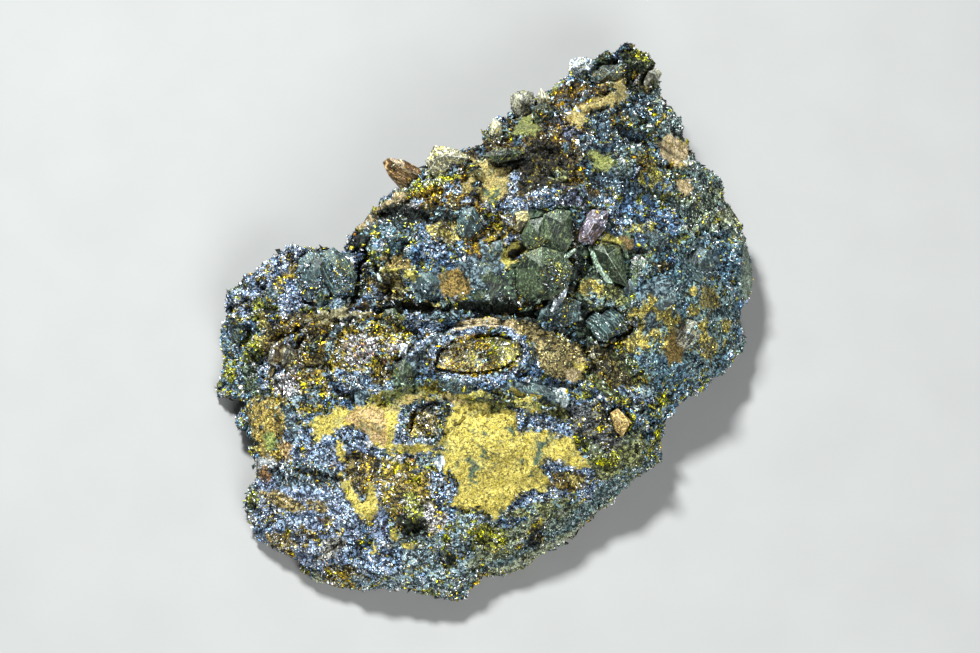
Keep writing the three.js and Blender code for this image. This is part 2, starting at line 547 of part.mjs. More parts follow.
// Crystals fused to the mass.
const FUSED_CRYSTALS = [
  {
    face: [
      [22.8, 9.4, 0], [24, 11.9, 0.4], [26, 10.9, 0.5], [27, 8.9, 0.3], [25.2, 7.1, 0], [23.5, 7.9, 0],
    ],
    ridge: [[25, 9.8, 1.8]],
    root: [0, 0, -3],
  },
  {
    face: [
      [25.7, 14.9, 0], [27.5, 16.2, 0.4], [29.7, 14.4, 0.4], [28, 12.1, 0.1], [26, 12.8, 0],
    ],
    ridge: [[27.5, 14.2, 1.6]],
    root: [0, 0, -3],
  },
  {
    face: [
      [-20.7, 16.8, 0], [-17.7, 17.6, 0.5], [-14.3, 16.9, 0.8], [-12.3, 14.4, 0.8], [-11.8, 10.8, 0.4],
      [-14.5, 8.8, 0], [-18.3, 9.8, 0], [-21.2, 11.8, 0],
    ],
    ridge: [[-16.3, 14.4, 1.8], [-14.2, 12.4, 1.8]],
    root: [0, 0, -3.5],
  },
  {
    face: [
      [-12, 6.1, 0], [-11.8, 8.8, 0.4], [-10, 9.4, 0.6], [-8.5, 7.4, 0.5], [-9, 4.8, 0], [-11, 4.2, 0],
    ],
    ridge: [[-10.3, 7.1, 1.8]],
    root: [0, 0, -3],
  },
  {
    face: [
      [-5.8, 15.8, 0], [-4.8, 18.9, 0.4], [-2.7, 19.8, 0.5], [-1.3, 17.8, 0.4], [-2.3, 15.1, 0],
      [-4.5, 14.4, 0],
    ],
    ridge: [[-3.7, 17.1, 1.8]],
    root: [0, 0, -3],
  },
  {
    face: [
      [-4, 7.1, 0], [-2.2, 10.8, 0.5], [1.2, 10.1, 0.5], [2.2, 6.8, 0.2], [0.3, 4.1, 0], [-2.7, 4.4, 0],
    ],
    ridge: [[-1, 7.8, 1.8]],
    root: [0, 0, -3],
  },
  {
    face: [
      [-16, -8.9, 0], [-15.7, -6.2, 0.5], [-14, -5.1, 0.6], [-12.7, -6.6, 0.5], [-12.5, -9.6, 0.2],
      [-14.3, -11.2, 0],
    ],
    ridge: [[-14.3, -7.9, 1.5]],
    root: [0, 0, -3],
  },
  {
    face: [
      [-37, -5.9, 0], [-36.3, -3.1, 0.3], [-33.7, -1.6, 0.5], [-31.7, -3.1, 0.5], [-31.7, -5.9, 0.2],
      [-34.7, -7.2, 0],
    ],
    ridge: [[-34.2, -4.2, 1.6]],
    root: [0, 0, -3],
  },
  {
    face: [
      [-31.2, -3.4, 0], [-30.3, -1.1, 0.5], [-29, -1.4, 0.5], [-28.3, -3.6, 0.2], [-29.8, -4.4, 0],
    ],
    ridge: [[-29.8, -2.4, 1.6]],
    root: [0, 0, -2.6],
  },
  {
    face: [
      [-38, 4.4, 0], [-37, 6.4, 0.3], [-35, 6.6, 0.4], [-34, 4.8, 0.3], [-35.5, 2.9, 0], [-37.3, 3.1, 0],
    ],
    ridge: [[-35.8, 4.9, 1.4]],
    root: [0, 0, -2.8],
  },
  {
    face: [
      [-44, -0.6, 0], [-43, 1.4, 0.3], [-41.3, 0.8, 0.4], [-40.7, -1.6, 0.2], [-42.3, -2.9, 0],
    ],
    ridge: [[-42.3, -0.8, 1.3]],
    root: [0, 0, -2.6],
  },
  {
    face: [
      [10.3, 21.1, 0], [11.8, 22.9, 0.4], [14.5, 23.2, 0.5], [15.7, 21.4, 0.3], [14.3, 19.1, 0],
      [11.3, 18.8, 0],
    ],
    ridge: [[13, 21.1, 1.7]],
    root: [0, 0, -3],
  },
  {
    face: [
      [5.7, 21.8, 0], [7.3, 23.2, 0.3], [9.8, 22.8, 0.4], [10.3, 20.9, 0.2], [8.3, 19.6, 0],
      [6.2, 19.8, 0],
    ],
    ridge: [[8, 21.4, 1.3]],
    root: [0, 0, -2.8],
  },
  {
    face: [
      [19.3, 26.8, 0], [20.3, 29.1, 0.3], [23.3, 29.4, 0.4], [25, 27.4, 0.3], [23.3, 25.1, 0],
      [20.3, 24.9, 0],
    ],
    ridge: [[22, 27.2, 1.5]],
    root: [0, 0, -3],
  },
  {
    face: [
      [25, 6.1, 0], [27, 8.1, 0.4], [30.3, 7.9, 0.5], [31.7, 5.8, 0.3], [29.7, 3.1, 0], [26.3, 3.1, 0],
    ],
    ridge: [[28.3, 5.9, 1.7]],
    root: [0, 0, -3.2],
  },
  {
    face: [
      [32.3, 10.8, 0], [34, 13.1, 0.4], [36.3, 12.8, 0.5], [37.3, 10.1, 0.3], [35.7, 7.1, 0],
      [33.3, 7.8, 0],
    ],
    ridge: [[34.8, 10.2, 1.7]],
    root: [0, 0, -3.2],
  },
  {
    face: [
      [37.7, 10.1, 0], [38.7, 12.8, 0.3], [41.3, 12.8, 0.4], [42.5, 10.4, 0.2], [41, 7.8, 0],
      [38.7, 7.6, 0],
    ],
    ridge: [[40, 10.4, 1.5]],
    root: [0, 0, -3.2],
  },
  {
    face: [
      [30.3, -0.6, 0], [32.3, 1.4, 0.3], [34.3, 0.8, 0.4], [34.7, -1.9, 0.2], [32.7, -3.9, 0],
      [30.7, -3.1, 0],
    ],
    ridge: [[32.5, -1.2, 1.5]],
    root: [0, 0, -3],
  },
  {
    face: [
      [14, -15.6, 0], [15, -12.6, 0.4], [17.7, -11.9, 0.5], [19, -14.2, 0.3], [18, -16.9, 0],
      [15.3, -17.6, 0],
    ],
    ridge: [[16.5, -14.6, 1.6]],
    root: [0, 0, -3],
  },
  {
    face: [
      [-8.8, -9.6, 0], [-7.5, -7.9, 0.4], [-4.7, -8.2, 0.5], [-2.3, -9.6, 0.3], [-4, -11.1, 0],
      [-7.3, -10.8, 0],
    ],
    ridge: [[-5.7, -9.2, 1.3]],
    root: [0, 0, -2.6],
  },
];

// Patches of small crystals that are part of the mass, round a sketch point.
const SPROUTS = [
  { at: [-37, 1], reach: 8, count: 6, half: 2.1 },
  { at: [-37, -18], reach: 5, count: 4, half: 2 },
  { at: [21, 30], reach: 8, count: 6, half: 2 },
  { at: [-3, 20], reach: 7, count: 5, half: 2.3 },
  { at: [35, 13], reach: 7, count: 4, half: 2 },
  { at: [24, -12], reach: 6, count: 4, half: 2 },
];

let draw = 11; // the seed of every random choice below
function random(low, high) {
  draw += 1;
  return lerp(low, high, seededRandom(draw));
}

// Two pyramids base to base, with a short edge for a point at each end.
function pyramids(halfWidth, halfDepth, halfLength) {
  const points = [];
  for (const side of [-1, 1]) {
    points.push(new THREE.Vector3(side * halfWidth, 0, 0));
    points.push(new THREE.Vector3(0, side * halfDepth, 0));
    points.push(new THREE.Vector3(0.2 * halfWidth, 0, side * halfLength));
    points.push(new THREE.Vector3(-0.2 * halfWidth, 0, side * halfLength));
  }
  return new ConvexGeometry(points);
}

function sprout(at, reach, half) {
  const angle = random(0, 2 * Math.PI);
  const distance = reach * Math.sqrt(random(0, 1));
  const { point, normal } = seat(at[0] + distance * Math.cos(angle), at[1] + distance * Math.sin(angle));
  const size = half * random(0.7, 1.25);
  const axis = normal.add(new THREE.Vector3(random(-0.8, 0.8), random(-0.8, 0.8), 0));
  return solid(pyramids(size, 0.75 * size, 1.4 * size), along(point, axis, random(0, Math.PI)));
}

function sprouts() {
  return SPROUTS.flatMap(({ at, reach, count, half }) =>
    Array.from({ length: count }, () => sprout(at, reach, half)),
  );
}

// ---------------------------------------------------------------- ledges: thin curved lips over the ochre bed
const LEDGES = [
  { at: [-2, -9.2], half: [7, 1.6, 1.2], turn: -4 },
  { at: [8.6, -10.4], half: [6.6, 1.7, 1.4], turn: -12 },
  { at: [3.4, -12.4], half: [8, 1.3, 1.1], turn: -8 },
  { at: [-16.2, -9.4], half: [4.4, 1.8, 1.4], turn: 12 },
  { at: [-9, 2], half: [8, 1.5, 1.3], turn: -2 },
  { at: [7, 0.8], half: [7.4, 1.6, 1.3], turn: -14 },
  { at: [-16, 8.4], half: [5, 1.6, 1.5], turn: 4 },
];

function ledge({ at, half, turn }) {
  const lens = new THREE.IcosahedronGeometry(1, 1);
  lens.scale(...half);
  lens.rotateZ(degToRad(turn));
  return solid(lens, onFace(seat(...at), 0.5));
}

// ---------------------------------------------------------------- crevices: [across, up, floor height, half width]
const CREVICES = [
  [
    [-26.5, 4.4, 21, 0.6], [-22, 5, 19, 1], [-17, 4.3, 19, 1.3], [-10, 3.5, 20, 1.3], [-3, 3.4, 20, 1.4],
    [3, 3.2, 20, 1.4], [9, 2.3, 20, 1.3], [14, -0.2, 19, 1], [17.5, -2.8, 19, 0.6],
  ],
  [[-22.6, 5.4, 19, 0.6], [-22.4, 9, 15, 1.1], [-21.6, 12, 13, 1.2], [-19.8, 14.6, 13, 0.8]],
  [[-24.5, -5.5, 19, 0.5], [-23.6, -9.5, 18, 0.7], [-19.5, -12, 18, 0.7], [-14.5, -13, 18.5, 0.5]],
  [[13.4, 14, 30, 0.3], [13.7, 18.6, 29, 0.5]],
  [[24.6, -1.4, 20, 0.4], [22.6, -3.8, 18, 0.8], [19, -6.6, 18, 0.6]],
];

// A V-shaped cut along stations, open upwards.
function crevice(stations) {
  const sections = stations.map(([across, up, floor, halfWidth], i) => {
    const here = inPlan(across, up, floor + 8);
    const [a, b] = [stations[Math.max(0, i - 1)], stations[Math.min(stations.length - 1, i + 1)]];
    const side = new THREE.Vector2(a[1] - b[1], b[0] - a[0]).normalize();
    const point = (offset, z) => new THREE.Vector3(here.x + side.x * offset, here.y + side.y * offset, z);
    const slot = 0.25 * halfWidth;
    const mouth = 1.3 * halfWidth;
    return [point(-slot, floor), point(slot, floor), point(-mouth, floor + 9), point(mouth, floor + 9),
      point(-mouth, 60), point(mouth, 60)];
  });
  const hulls = sections.slice(1).map((section, i) => new ConvexGeometry([...sections[i], ...section]));
  return union(hulls.map((hull) => solid(hull))).simplify(FINEST_DETAIL);
}

// ---------------------------------------------------------------- pits with no crust of their own
const PITS = [
  { at: [4, 12.4], half: [3.2, 1.7, 4], turn: 35 },
  { at: [7, -34.6], half: [2, 0.8, 3], turn: 50 },
  { at: [-6.8, -38], half: [0.9, 0.9, 2], turn: 0 },
  { at: [-13, -33], half: [1.8, 1, 2], turn: 0 },
  { at: [-15, 13], half: [2, 1.4, 3], turn: 40 },
  { at: [-38.5, -8.4], half: [1, 1.3, 2.5], turn: 0 },
];

function pit({ at, half, turn }) {
  const bowl = new THREE.IcosahedronGeometry(1, 1);
  bowl.scale(...half);
  bowl.rotateZ(degToRad(turn));
  return solid(bowl, onFace(seat(...at), 0.4));
}

// ---------------------------------------------------------------- zoned cells: a pale rim round a hollow with a crust
// Outlines run anticlockwise on the face, as [across, up] from the cell's middle.
const CELLS = {
  oval_cell: {
    at: [-2, -4.7],
    hollow: [[-7.2, -1.8], [-3.6, -2.8], [0, -2.9], [3.6, -2.4], [6.6, -1], [7.4, 0.8], [6.6, 2.4], [3.4, 3.1],
      [-1, 3], [-4.4, 2.4], [-6.4, 0.6]],
    rimWidth: 1.9,
    rise: 0.5,
    depth: 2.4,
  },
  rhomb_cell: {
    at: [-10.9, -15.6],
    hollow: [[-3.1, -2.8], [1.9, -2.6], [2.7, 0.2], [3.2, 3.2], [-1.2, 2.6], [-2.2, 0.6]],
    rimWidth: 1.2,
    rise: 0.4,
    depth: 2.4,
  },
  brown_hollow: {
    at: [-32, -4.6],
    hollow: [[-4.4, -3], [-2, -3], [0.6, -1], [3.6, 0.2], [4.2, 2.6], [1, 3.4], [-2.6, 2.2], [-4.6, -0.4]],
    rimWidth: 0.7,
    rise: 0.2,
    depth: 2.6,
  },
};
const CRUST_THICKNESS = 1;
const CRUST_CRYSTALS = 5;

// A prism of an outline, from one height over the face to another.
function prism(outline, low, high, frame, hole) {
  const shape = new THREE.Shape(outline.map((p) => new THREE.Vector2(...p)));
  if (hole) shape.holes.push(new THREE.Path(hole.map((p) => new THREE.Vector2(...p))));
  const geometry = new THREE.ExtrudeGeometry(shape, { depth: high - low, bevelEnabled: false });
  geometry.translate(0, 0, low);
  return solid(geometry, frame);
}

// An anticlockwise outline moved outwards by a distance.
function grown(outline, distance) {
  return outline.map(([x, y], i) => {
    const [px, py] = outline[(i + outline.length - 1) % outline.length];
    const [nx, ny] = outline[(i + 1) % outline.length];
    const outward = new THREE.Vector2(ny - py, px - nx).normalize();
    return [x + distance * outward.x, y + distance * outward.y];
  });
}

function cellParts({ at, hollow, rimWidth, rise, depth }) {
  const frame = onFace(seat(...at));
  const lip = prism(grown(hollow, rimWidth), -2.5, rise, frame, grown(hollow, -0.1));
  const hole = prism(hollow, -depth, 12, frame);
  const inside = prism(grown(hollow, -CRUST_GAP), CRUST_GAP - depth, 3, frame);
  const bed = prism(grown(hollow, -CRUST_GAP), CRUST_GAP - depth, CRUST_THICKNESS - depth, frame);
  const xs = hollow.map((p) => p[0]);
  const ys = hollow.map((p) => p[1]);
  const bumps = Array.from({ length: CRUST_CRYSTALS }, () => {
    const size = random(0.9, 1.5);
    const local = new THREE.Vector3(
      random(Math.min(...xs) + 0.8, Math.max(...xs) - 0.8),
      random(Math.min(...ys) + 0.8, Math.max(...ys) - 0.8),
      CRUST_THICKNESS - depth,
    ).applyMatrix4(frame);
    const axis = new THREE.Vector3(random(-0.6, 0.6), random(-0.6, 0.6), 1);
    return solid(pyramids(size, 0.8 * size, 1.3 * size), along(local, axis, random(0, Math.PI)));
  });
  const crust = union([bed, ...bumps]).intersect(inside).simplify(FINEST_DETAIL);
  return { lip, hole, crust };
}

// ---------------------------------------------------------------- materials
const mineral = (color, roughnessValue, metalness) =>
  new THREE.MeshStandardMaterial({ color, roughness: roughnessValue, metalness, flatShading: true });
const drusyGrey = mineral(0x5f6670, 0.45, 0.2);
const oliveCrystal = mineral(0x4a5348, 0.3, 0.15);
const amberCrystal = mineral(0x7a5a33, 0.3, 0.05);
const lilacCrystal = mineral(0x7f7783, 0.3, 0.15);
const brownCrust = mineral(0x8a6a35, 0.6, 0);

const MATERIAL_OF = {
  crystal_mass: drusyGrey,
  oval_cell_crust: brownCrust,
  rhomb_cell_crust: brownCrust,
  brown_hollow_crust: brownCrust,
  rim_crystal_1: amberCrystal,
  rim_crystal_2: amberCrystal,
  rim_crystal_3: amberCrystal,
  rim_crystal_4: amberCrystal,
  rim_crystal_5: amberCrystal,
  rim_crystal_6: lilacCrystal,
  rim_crystal_7: lilacCrystal,
  lilac_crystal: lilacCrystal,
  orange_crystal: amberCrystal,
};

// ---------------------------------------------------------------- assembly
const bodies = {};
const seats = [];
for (const [name, specs] of Object.entries(CRYSTALS)) {
  const depth = seatDepth(specs);
  bodies[name] = union(specs.map((spec) => crystal(spec, depth)));
  seats.push(...specs.map((spec) => crystal(spec, depth, CRUST_GAP)));
}

const cells = Object.entries(CELLS).map(([name, cell]) => ({ name, ...cellParts(cell) }));
for (const { name, crust } of cells) bodies[`${name}_crust`] = crust;

const fused = FUSED_CRYSTALS.map((spec) => crystal(spec, seatDepth([spec])));
const built = union([mass(), ...LEDGES.map(ledge), ...cells.map((cell) => cell.lip), ...fused, ...sprouts()]);
const cuts = [...CREVICES.map(crevice), ...PITS.map(pit), ...cells.map((cell) => cell.hole), ...seats];
bodies.crystal_mass = cuts.reduce((body, cut) => body.subtract(cut), built).simplify(FINEST_DETAIL);

// The part's origin is under the middle of its bounding box.
const box = new THREE.Box3();
for (const body of Object.values(bodies)) {
  const { min, max } = body.boundingBox();
  box.union(new THREE.Box3(new THREE.Vector3(...min), new THREE.Vector3(...max)));
}
const middle = box.getCenter(new THREE.Vector3());
const place = new THREE.Matrix4().makeTranslation(-middle.x, -middle.y, 0);

const specimen = new THREE.Group();
for (const [name, body] of Object.entries(bodies)) {
  const mesh = new THREE.Mesh(geometryOf(settled(body, place)), MATERIAL_OF[name] ?? oliveCrystal);
  mesh.name = name;
  specimen.add(mesh);
}

export default specimen;
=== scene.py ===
"""The look of a descloizite specimen: a drusy crystal crust with ochre beds, crevices and zoned cells."""
import math

import bmesh
import bpy
import numpy as np
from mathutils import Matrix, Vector
from mathutils.bvhtree import BVHTree


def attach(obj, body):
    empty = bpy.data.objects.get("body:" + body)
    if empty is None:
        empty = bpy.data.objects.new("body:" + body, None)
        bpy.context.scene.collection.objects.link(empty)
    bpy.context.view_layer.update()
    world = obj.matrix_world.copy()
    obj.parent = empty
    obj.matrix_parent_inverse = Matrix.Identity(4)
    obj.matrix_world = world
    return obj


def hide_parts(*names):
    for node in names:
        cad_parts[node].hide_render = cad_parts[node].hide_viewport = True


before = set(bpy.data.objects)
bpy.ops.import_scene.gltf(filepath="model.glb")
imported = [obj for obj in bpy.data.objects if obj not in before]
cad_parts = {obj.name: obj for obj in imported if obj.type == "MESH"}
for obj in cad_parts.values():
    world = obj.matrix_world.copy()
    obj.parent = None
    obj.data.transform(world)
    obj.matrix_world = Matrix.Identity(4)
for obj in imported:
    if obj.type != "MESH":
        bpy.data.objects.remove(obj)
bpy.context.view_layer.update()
MM = 0.001

# ---------------------------------------------------------------- the display face
# Colours and crystals are laid out on the display face as (across, up) in mm, and out of it as lift.
LEAN = math.radians(62)
MIDDLE = np.array([0.8989, -2.4916, 14.0])  # where the face's middle lies in the part, mm
ACROSS = np.array([1.0, 0.0, 0.0])
UP = np.array([0.0, math.sin(LEAN), math.cos(LEAN)])
OUT = np.array([0.0, -math.cos(LEAN), math.sin(LEAN)])
SEED = 7
BASE_CLEARANCE = 0.02  # mm
# Outlines, lines and crystals are placed on a grid over the display face, counted across and down.
GRID_STEPS = 6  # to the mm
GRID_ACROSS = 490  # where the face's middle lies on the grid
GRID_DOWN = 326.5


def laid_out(text):
    """Places given on the grid, as mm across and up. A third number is the lift out of the face, in mm."""
    found = []
    for place in text.split(","):
        across, down, *lift = (float(part) for part in place.split())
        over = round((across - GRID_ACROSS) / GRID_STEPS, 1)
        found.append((over, round((GRID_DOWN - down) / GRID_STEPS, 1), *lift))
    return found


# ---------------------------------------------------------------- colours
# Each finish has a texture, its tones from dark to light with the share of each, and its flecks. The light
# blue-white tones of the druse finishes are partly pale grains, partly painted glints.
PALETTES = {
    "back_druse": ("druse", "161c1a .32 465450 .25 7c8a84 .20 bcc8c4 .12", "86803c .10 a8a048 .06"),
    "grey_druse": ("druse", "141c1c .33 3c4e50 .22 6c8480 .20 acc4c0 .13", "a09844 .14"),
    "amber_night": (
        "druse", "0b0b08 .42 3a2c12 .24 6c5620 .17 989a8c .07 ccd4da .03", "b89830 .12 744820 .03"),
    "night_druse": ("druse", "090d12 .42 2c3e48 .19 567082 .16 a4bccc .14 e6f0f6 .06", "9c943c .11"),
    "dark_olive_druse": ("druse", "060906 .58 242c1c .22 485434 .12 8c9078 .05", "7c7830 .06"),
    "grey_light_druse": ("druse", "161e1e .30 4e6062 .28 849a98 .22 ccd8d4 .13", "9c9848 .10"),
    "cream_druse": ("druse", "1a221e .23 606c60 .22 a4b49c .24 e0ecea .18", "b8ac4c .14"),
    "blue_druse": ("druse", "080f18 .33 38567a .23 7498c0 .20 dceaf8 .13", "a49c3c .13"),
    "blue_white_druse": ("druse", "0a1018 .26 446286 .18 9cb4d8 .25 eaf3ff .25", "b4a448 .08"),
    "pale_blue_druse": ("druse", "101922 .28 426278 .22 86a8c0 .22 d6e8f4 .14", "aca444 .18"),
    "lilac_druse": ("druse", "0f1520 .23 4c6282 .18 9cb0d4 .25 eaf2ff .24", "b07c3c .03 c8b44c .07"),
    "shelf_druse": ("sugar", "121824 .18 526484 .20 9caed0 .28 e8f0ff .24", "b07c3c .03 c8b44c .06"),
    "shelf_white": ("sugar", "16202c .16 6480a4 .20 b0c4e4 .30 f4f8ff .32", ""),
    "rim_band": ("sugar", "0c1422 .16 5070a0 .20 b0c6ec .34 f4f8ff .30", ""),
    "oval_druse": ("druse", "14100a .24 685422 .24 a88a30 .24 c8ae48 .16 c8d4d8 .07", "a05c26 .04"),
    "shelf_olive": ("sugar", "1e241c .20 5e6a50 .26 9ca68a .28 d6deca .16", "b8aa4c .14"),
    "shelf_slate": ("sugar", "1a2426 .21 52686c .26 8ca6a8 .28 d0e0e0 .15", "aca44c .11"),
    "lilac_night": ("druse", "0a0b13 .48 363a4e .24 6c748c .16 ccd4e2 .08", "a08c48 .04"),
    "lilac_rim": ("druse", "0b1018 .24 4c6482 .18 a2b8d8 .26 eef4ff .30", "8c8844 .04"),
    "amber_druse": ("druse", "090906 .40 4c3812 .23 967a26 .20 b4b49c .08", "d8b02c .15 80481e .06"),
    "amber_dark": ("druse", "080807 .54 221f14 .24 443c22 .13 6c6434 .05", "a09038 .05"),
    "yellow_green_druse": ("druse", "161a10 .26 5c6830 .20 acac4c .22 dce2d8 .17", "d2c84a .14"),
    "blue_grey_rock": ("druse", "182830 .21 4c6c7c .26 84a4b2 .26 d4e8ee .18", "aca848 .12"),
    "brown_dark_druse": ("druse", "100f0a .38 3c3620 .24 74683a .19 c0bca4 .10", "b49c40 .09"),
    "brown_druse": ("druse", "0f0e09 .33 4c4022 .20 8a783c .19 d0dce4 .16", "c8a83c .13 84502a .03"),
    "gold_brown_druse": ("druse", "1c180c .20 74622e .18 bca44c .25 e0e8ea .20", "e4cc48 .15 9a5a28 .02"),
    "golden_druse": ("druse", "14120b .26 665620 .18 b8a038 .22 d8e4ee .17", "e0c43a .15 9a5c26 .03"),
    "pink_white_druse": ("druse", "1a1a18 .18 7c7060 .16 bcb8bc .26 f4f8ff .24", "ccb444 .13 c4907c .03"),
    "pink_brown_druse": ("druse", "1c1810 .20 7c7040 .20 baa470 .27 f0ecdc .18", "d0b44c .15"),
    "gold_grey_druse": ("sugar", "131a1c .19 526a74 .18 9cb4be .27 e8f4fa .22", "c8b448 .14"),
    "olive_druse": ("druse", "161e18 .30 485a48 .26 809276 .22 ccd6c4 .14", "a8a048 .09"),
    "olive_yellow_druse": ("druse", "12170e .27 525a24 .20 9ca03c .24 c8dad2 .13", "d2c43e .17"),
    "olive_brown_druse": ("druse", "0e120c .31 363e26 .23 6c7240 .20 b0bca8 .12", "bcae44 .15"),
    "green_grey_druse": ("druse", "141c18 .32 485c4c .26 80947c .20 ccd6c4 .13", "a0a044 .10"),
    "brown_violet_druse": ("druse", "10120e .32 40403c .20 767a80 .16 a89a58 .12", "b4a444 .14 d6e2e8 .08"),
    "slate_druse": ("druse", "10191f .31 3e5c6c .25 7294a8 .21 c2d8e6 .14", "989040 .12"),
    "night_speckle": ("druse", "0b0e10 .40 30404a .19 7890a0 .16 d2e2ea .14", "b8a444 .09 705030 .02"),
    "shadow": ("druse", "080c0a .55 18201a .28 324036 .17", ""),
    "slate_fine": ("fine", "16222c .24 3e5c6a .27 7498aa .27 b8d2de .13", "a09c46 .11"),
    "slate_dusted": ("fine", "181f22 .22 4c6468 .25 8caaae .25 ccdee2 .13", "b0a84a .17"),
    "olive_dusted": ("fine", "24281a .24 666c3c .28 9ea068 .26 d0d4b4 .12", "94a09a .10"),
    "cream_edge": ("fine", "545a4a .20 8c9078 .28 b8bea0 .26 dce0ca .16", "9a9040 .10"),
    "olive_gold": ("fine", "12160c .33 40461e .28 78763a .23 bcb658 .13", ""),
    "beige_speckle": ("fine", "38321e .17 86784c .26 b8a470 .34 dccca0 .17", "2c281a .06"),
    "golden_crust": ("fine", "4a4424 .18 9c8a40 .28 c8b45c .30 dccf94 .17", "5c6c6a .07"),
    "yellow_speckle": ("fine", "48482a .16 aaa24e .28 d8cc70 .36 f0ecc8 .10", "8c9a98 .07 2e301e .05"),
    "orange_spots": ("fine", "383c32 .20 8a7e4a .26 bcaa60 .26 dcc480 .15", "8a9a9e .13"),
    "orange_crust": ("fine", "4a401f .22 867242 .32 ac9458 .28 c8b87c .12", "2c2a1c .06"),
    "bright_gold": ("fine", "54482a .10 b8a250 .20 e6d474 .28 fffcf0 .34", "86643a .08"),
    "ochre_edge": ("fine", "5a4c26 .22 a48c46 .28 c8ae60 .28 e0cc90 .13", "7c8c90 .09"),
    "orange_speckle": ("fine", "6e5434 .18 b89660 .34 e0c08a .36", "2e2818 .12"),
    "rust_dark": ("fine", "34220f .28 70482a .34 a07a4c .24", "d8d0c4 .14"),
    "amber_streak": ("fine", "26221a .22 78683c .24 b09a60 .22 f0f0e8 .20", "b8a44e .12"),
    "white_band": ("fine", "a0a8ac .08 dce2e4 .20 ffffff .66", "a09884 .06"),
    "brown_streak": ("fine", "242422 .26 746e64 .26 b2aea4 .25", "e4e8ec .23"),
    "deep_blue": ("fine", "060c16 .56 142638 .30 345064 .14", ""),
    "slate_streak": ("fine", "080c10 .50 2a363e .24 5e7078 .16 c4d0d8 .07", "98903c .03"),
    "ochre": ("powder", "ae9b3c .28 cab655 .40 dcc970 .32", "6a6632 .10 88a090 .05"),
    "ochre_peach": ("powder", "a88a48 .30 c29c60 .40 d4b484 .30", "7c7448 .08"),
    "peach": ("powder", "94804e .24 b89c6e .42 dcc4a0 .34", "6c6246 .12"),
    "beige": ("powder", "907e42 .30 b09858 .42 c8b47a .28", "585230 .14"),
    "rust": ("powder", "463818 .28 7c602c .38 a88a4c .34", "1c160c .20 c8b070 .05"),
    "yellow_green": ("powder", "60682e .30 8a8c48 .40 a8a868 .30", "4a583a .10"),
    "yellow_streak": ("powder", "988c30 .30 beb046 .40 d6ca74 .30", "6a6a30 .08"),
    "beige_streak": ("powder", "706844 .28 9c926c .40 bcb28e .32", "4c5048 .08"),
    "rust_streak": ("powder", "382c16 .40 6c502c .40 90764c .20", ""),
    "grey_green": ("powder", "34443c .35 4c5e50 .40 6c7c60 .25", "a09a54 .06"),
    "olive_green": ("powder", "4a5a28 .30 7a8844 .40 a0a860 .30", ""),
    # The hollow's own yellow, darkened as painted shade.
    "yellow_with_hollow_shade": ("powder", "282406 .40 685c12 .35 a09028 .25", ""),
    "pale_wall": ("powder", "5e7068 .30 889a88 .40 b4c2ae .30", "3c4a48 .08"),
    "white_blade": ("powder", "8c9c9c .30 b8c6c6 .40 e8f0ee .30", ""),
    "pale_edge": ("fine", "5c7068 .20 a0b4a4 .40 e0eadc .40", ""),
    # Near-black paint for the inside of a hollow: painted shade.
    "painted_hollow_shade": ("fine", "0c0a04 .55 1e180a .33 40361a .12", ""),
    "olive_facet": ("facet", "0e1510 .36 2e3e30 .32 566a52 .22 a8b8a2 .12", "98944a .06"),
    "slate_facet": ("facet", "18242a .28 445862 .34 748890 .26 b6c4cc .14", "98904a .05"),
    "brown_facet": ("facet", "30241a .28 564830 .40 80704c .30", "c8ccc8 .08"),
}
TEXTURES = ["druse", "sugar", "fine", "powder", "facet"]
MIDDLE_TONE = 0.22  # the brightness that contrast leaves as it is
SATURATION = 1.18  # of the druse, over what its tones have
CONTRAST = {"druse": 0.5, "sugar": 0.4, "fine": 0.4, "powder": 0.0, "facet": 0.4}
ROUGHNESS_OF = {"druse": 1.0, "sugar": 0.8, "fine": 0.45, "powder": 0.16, "facet": 0.35}

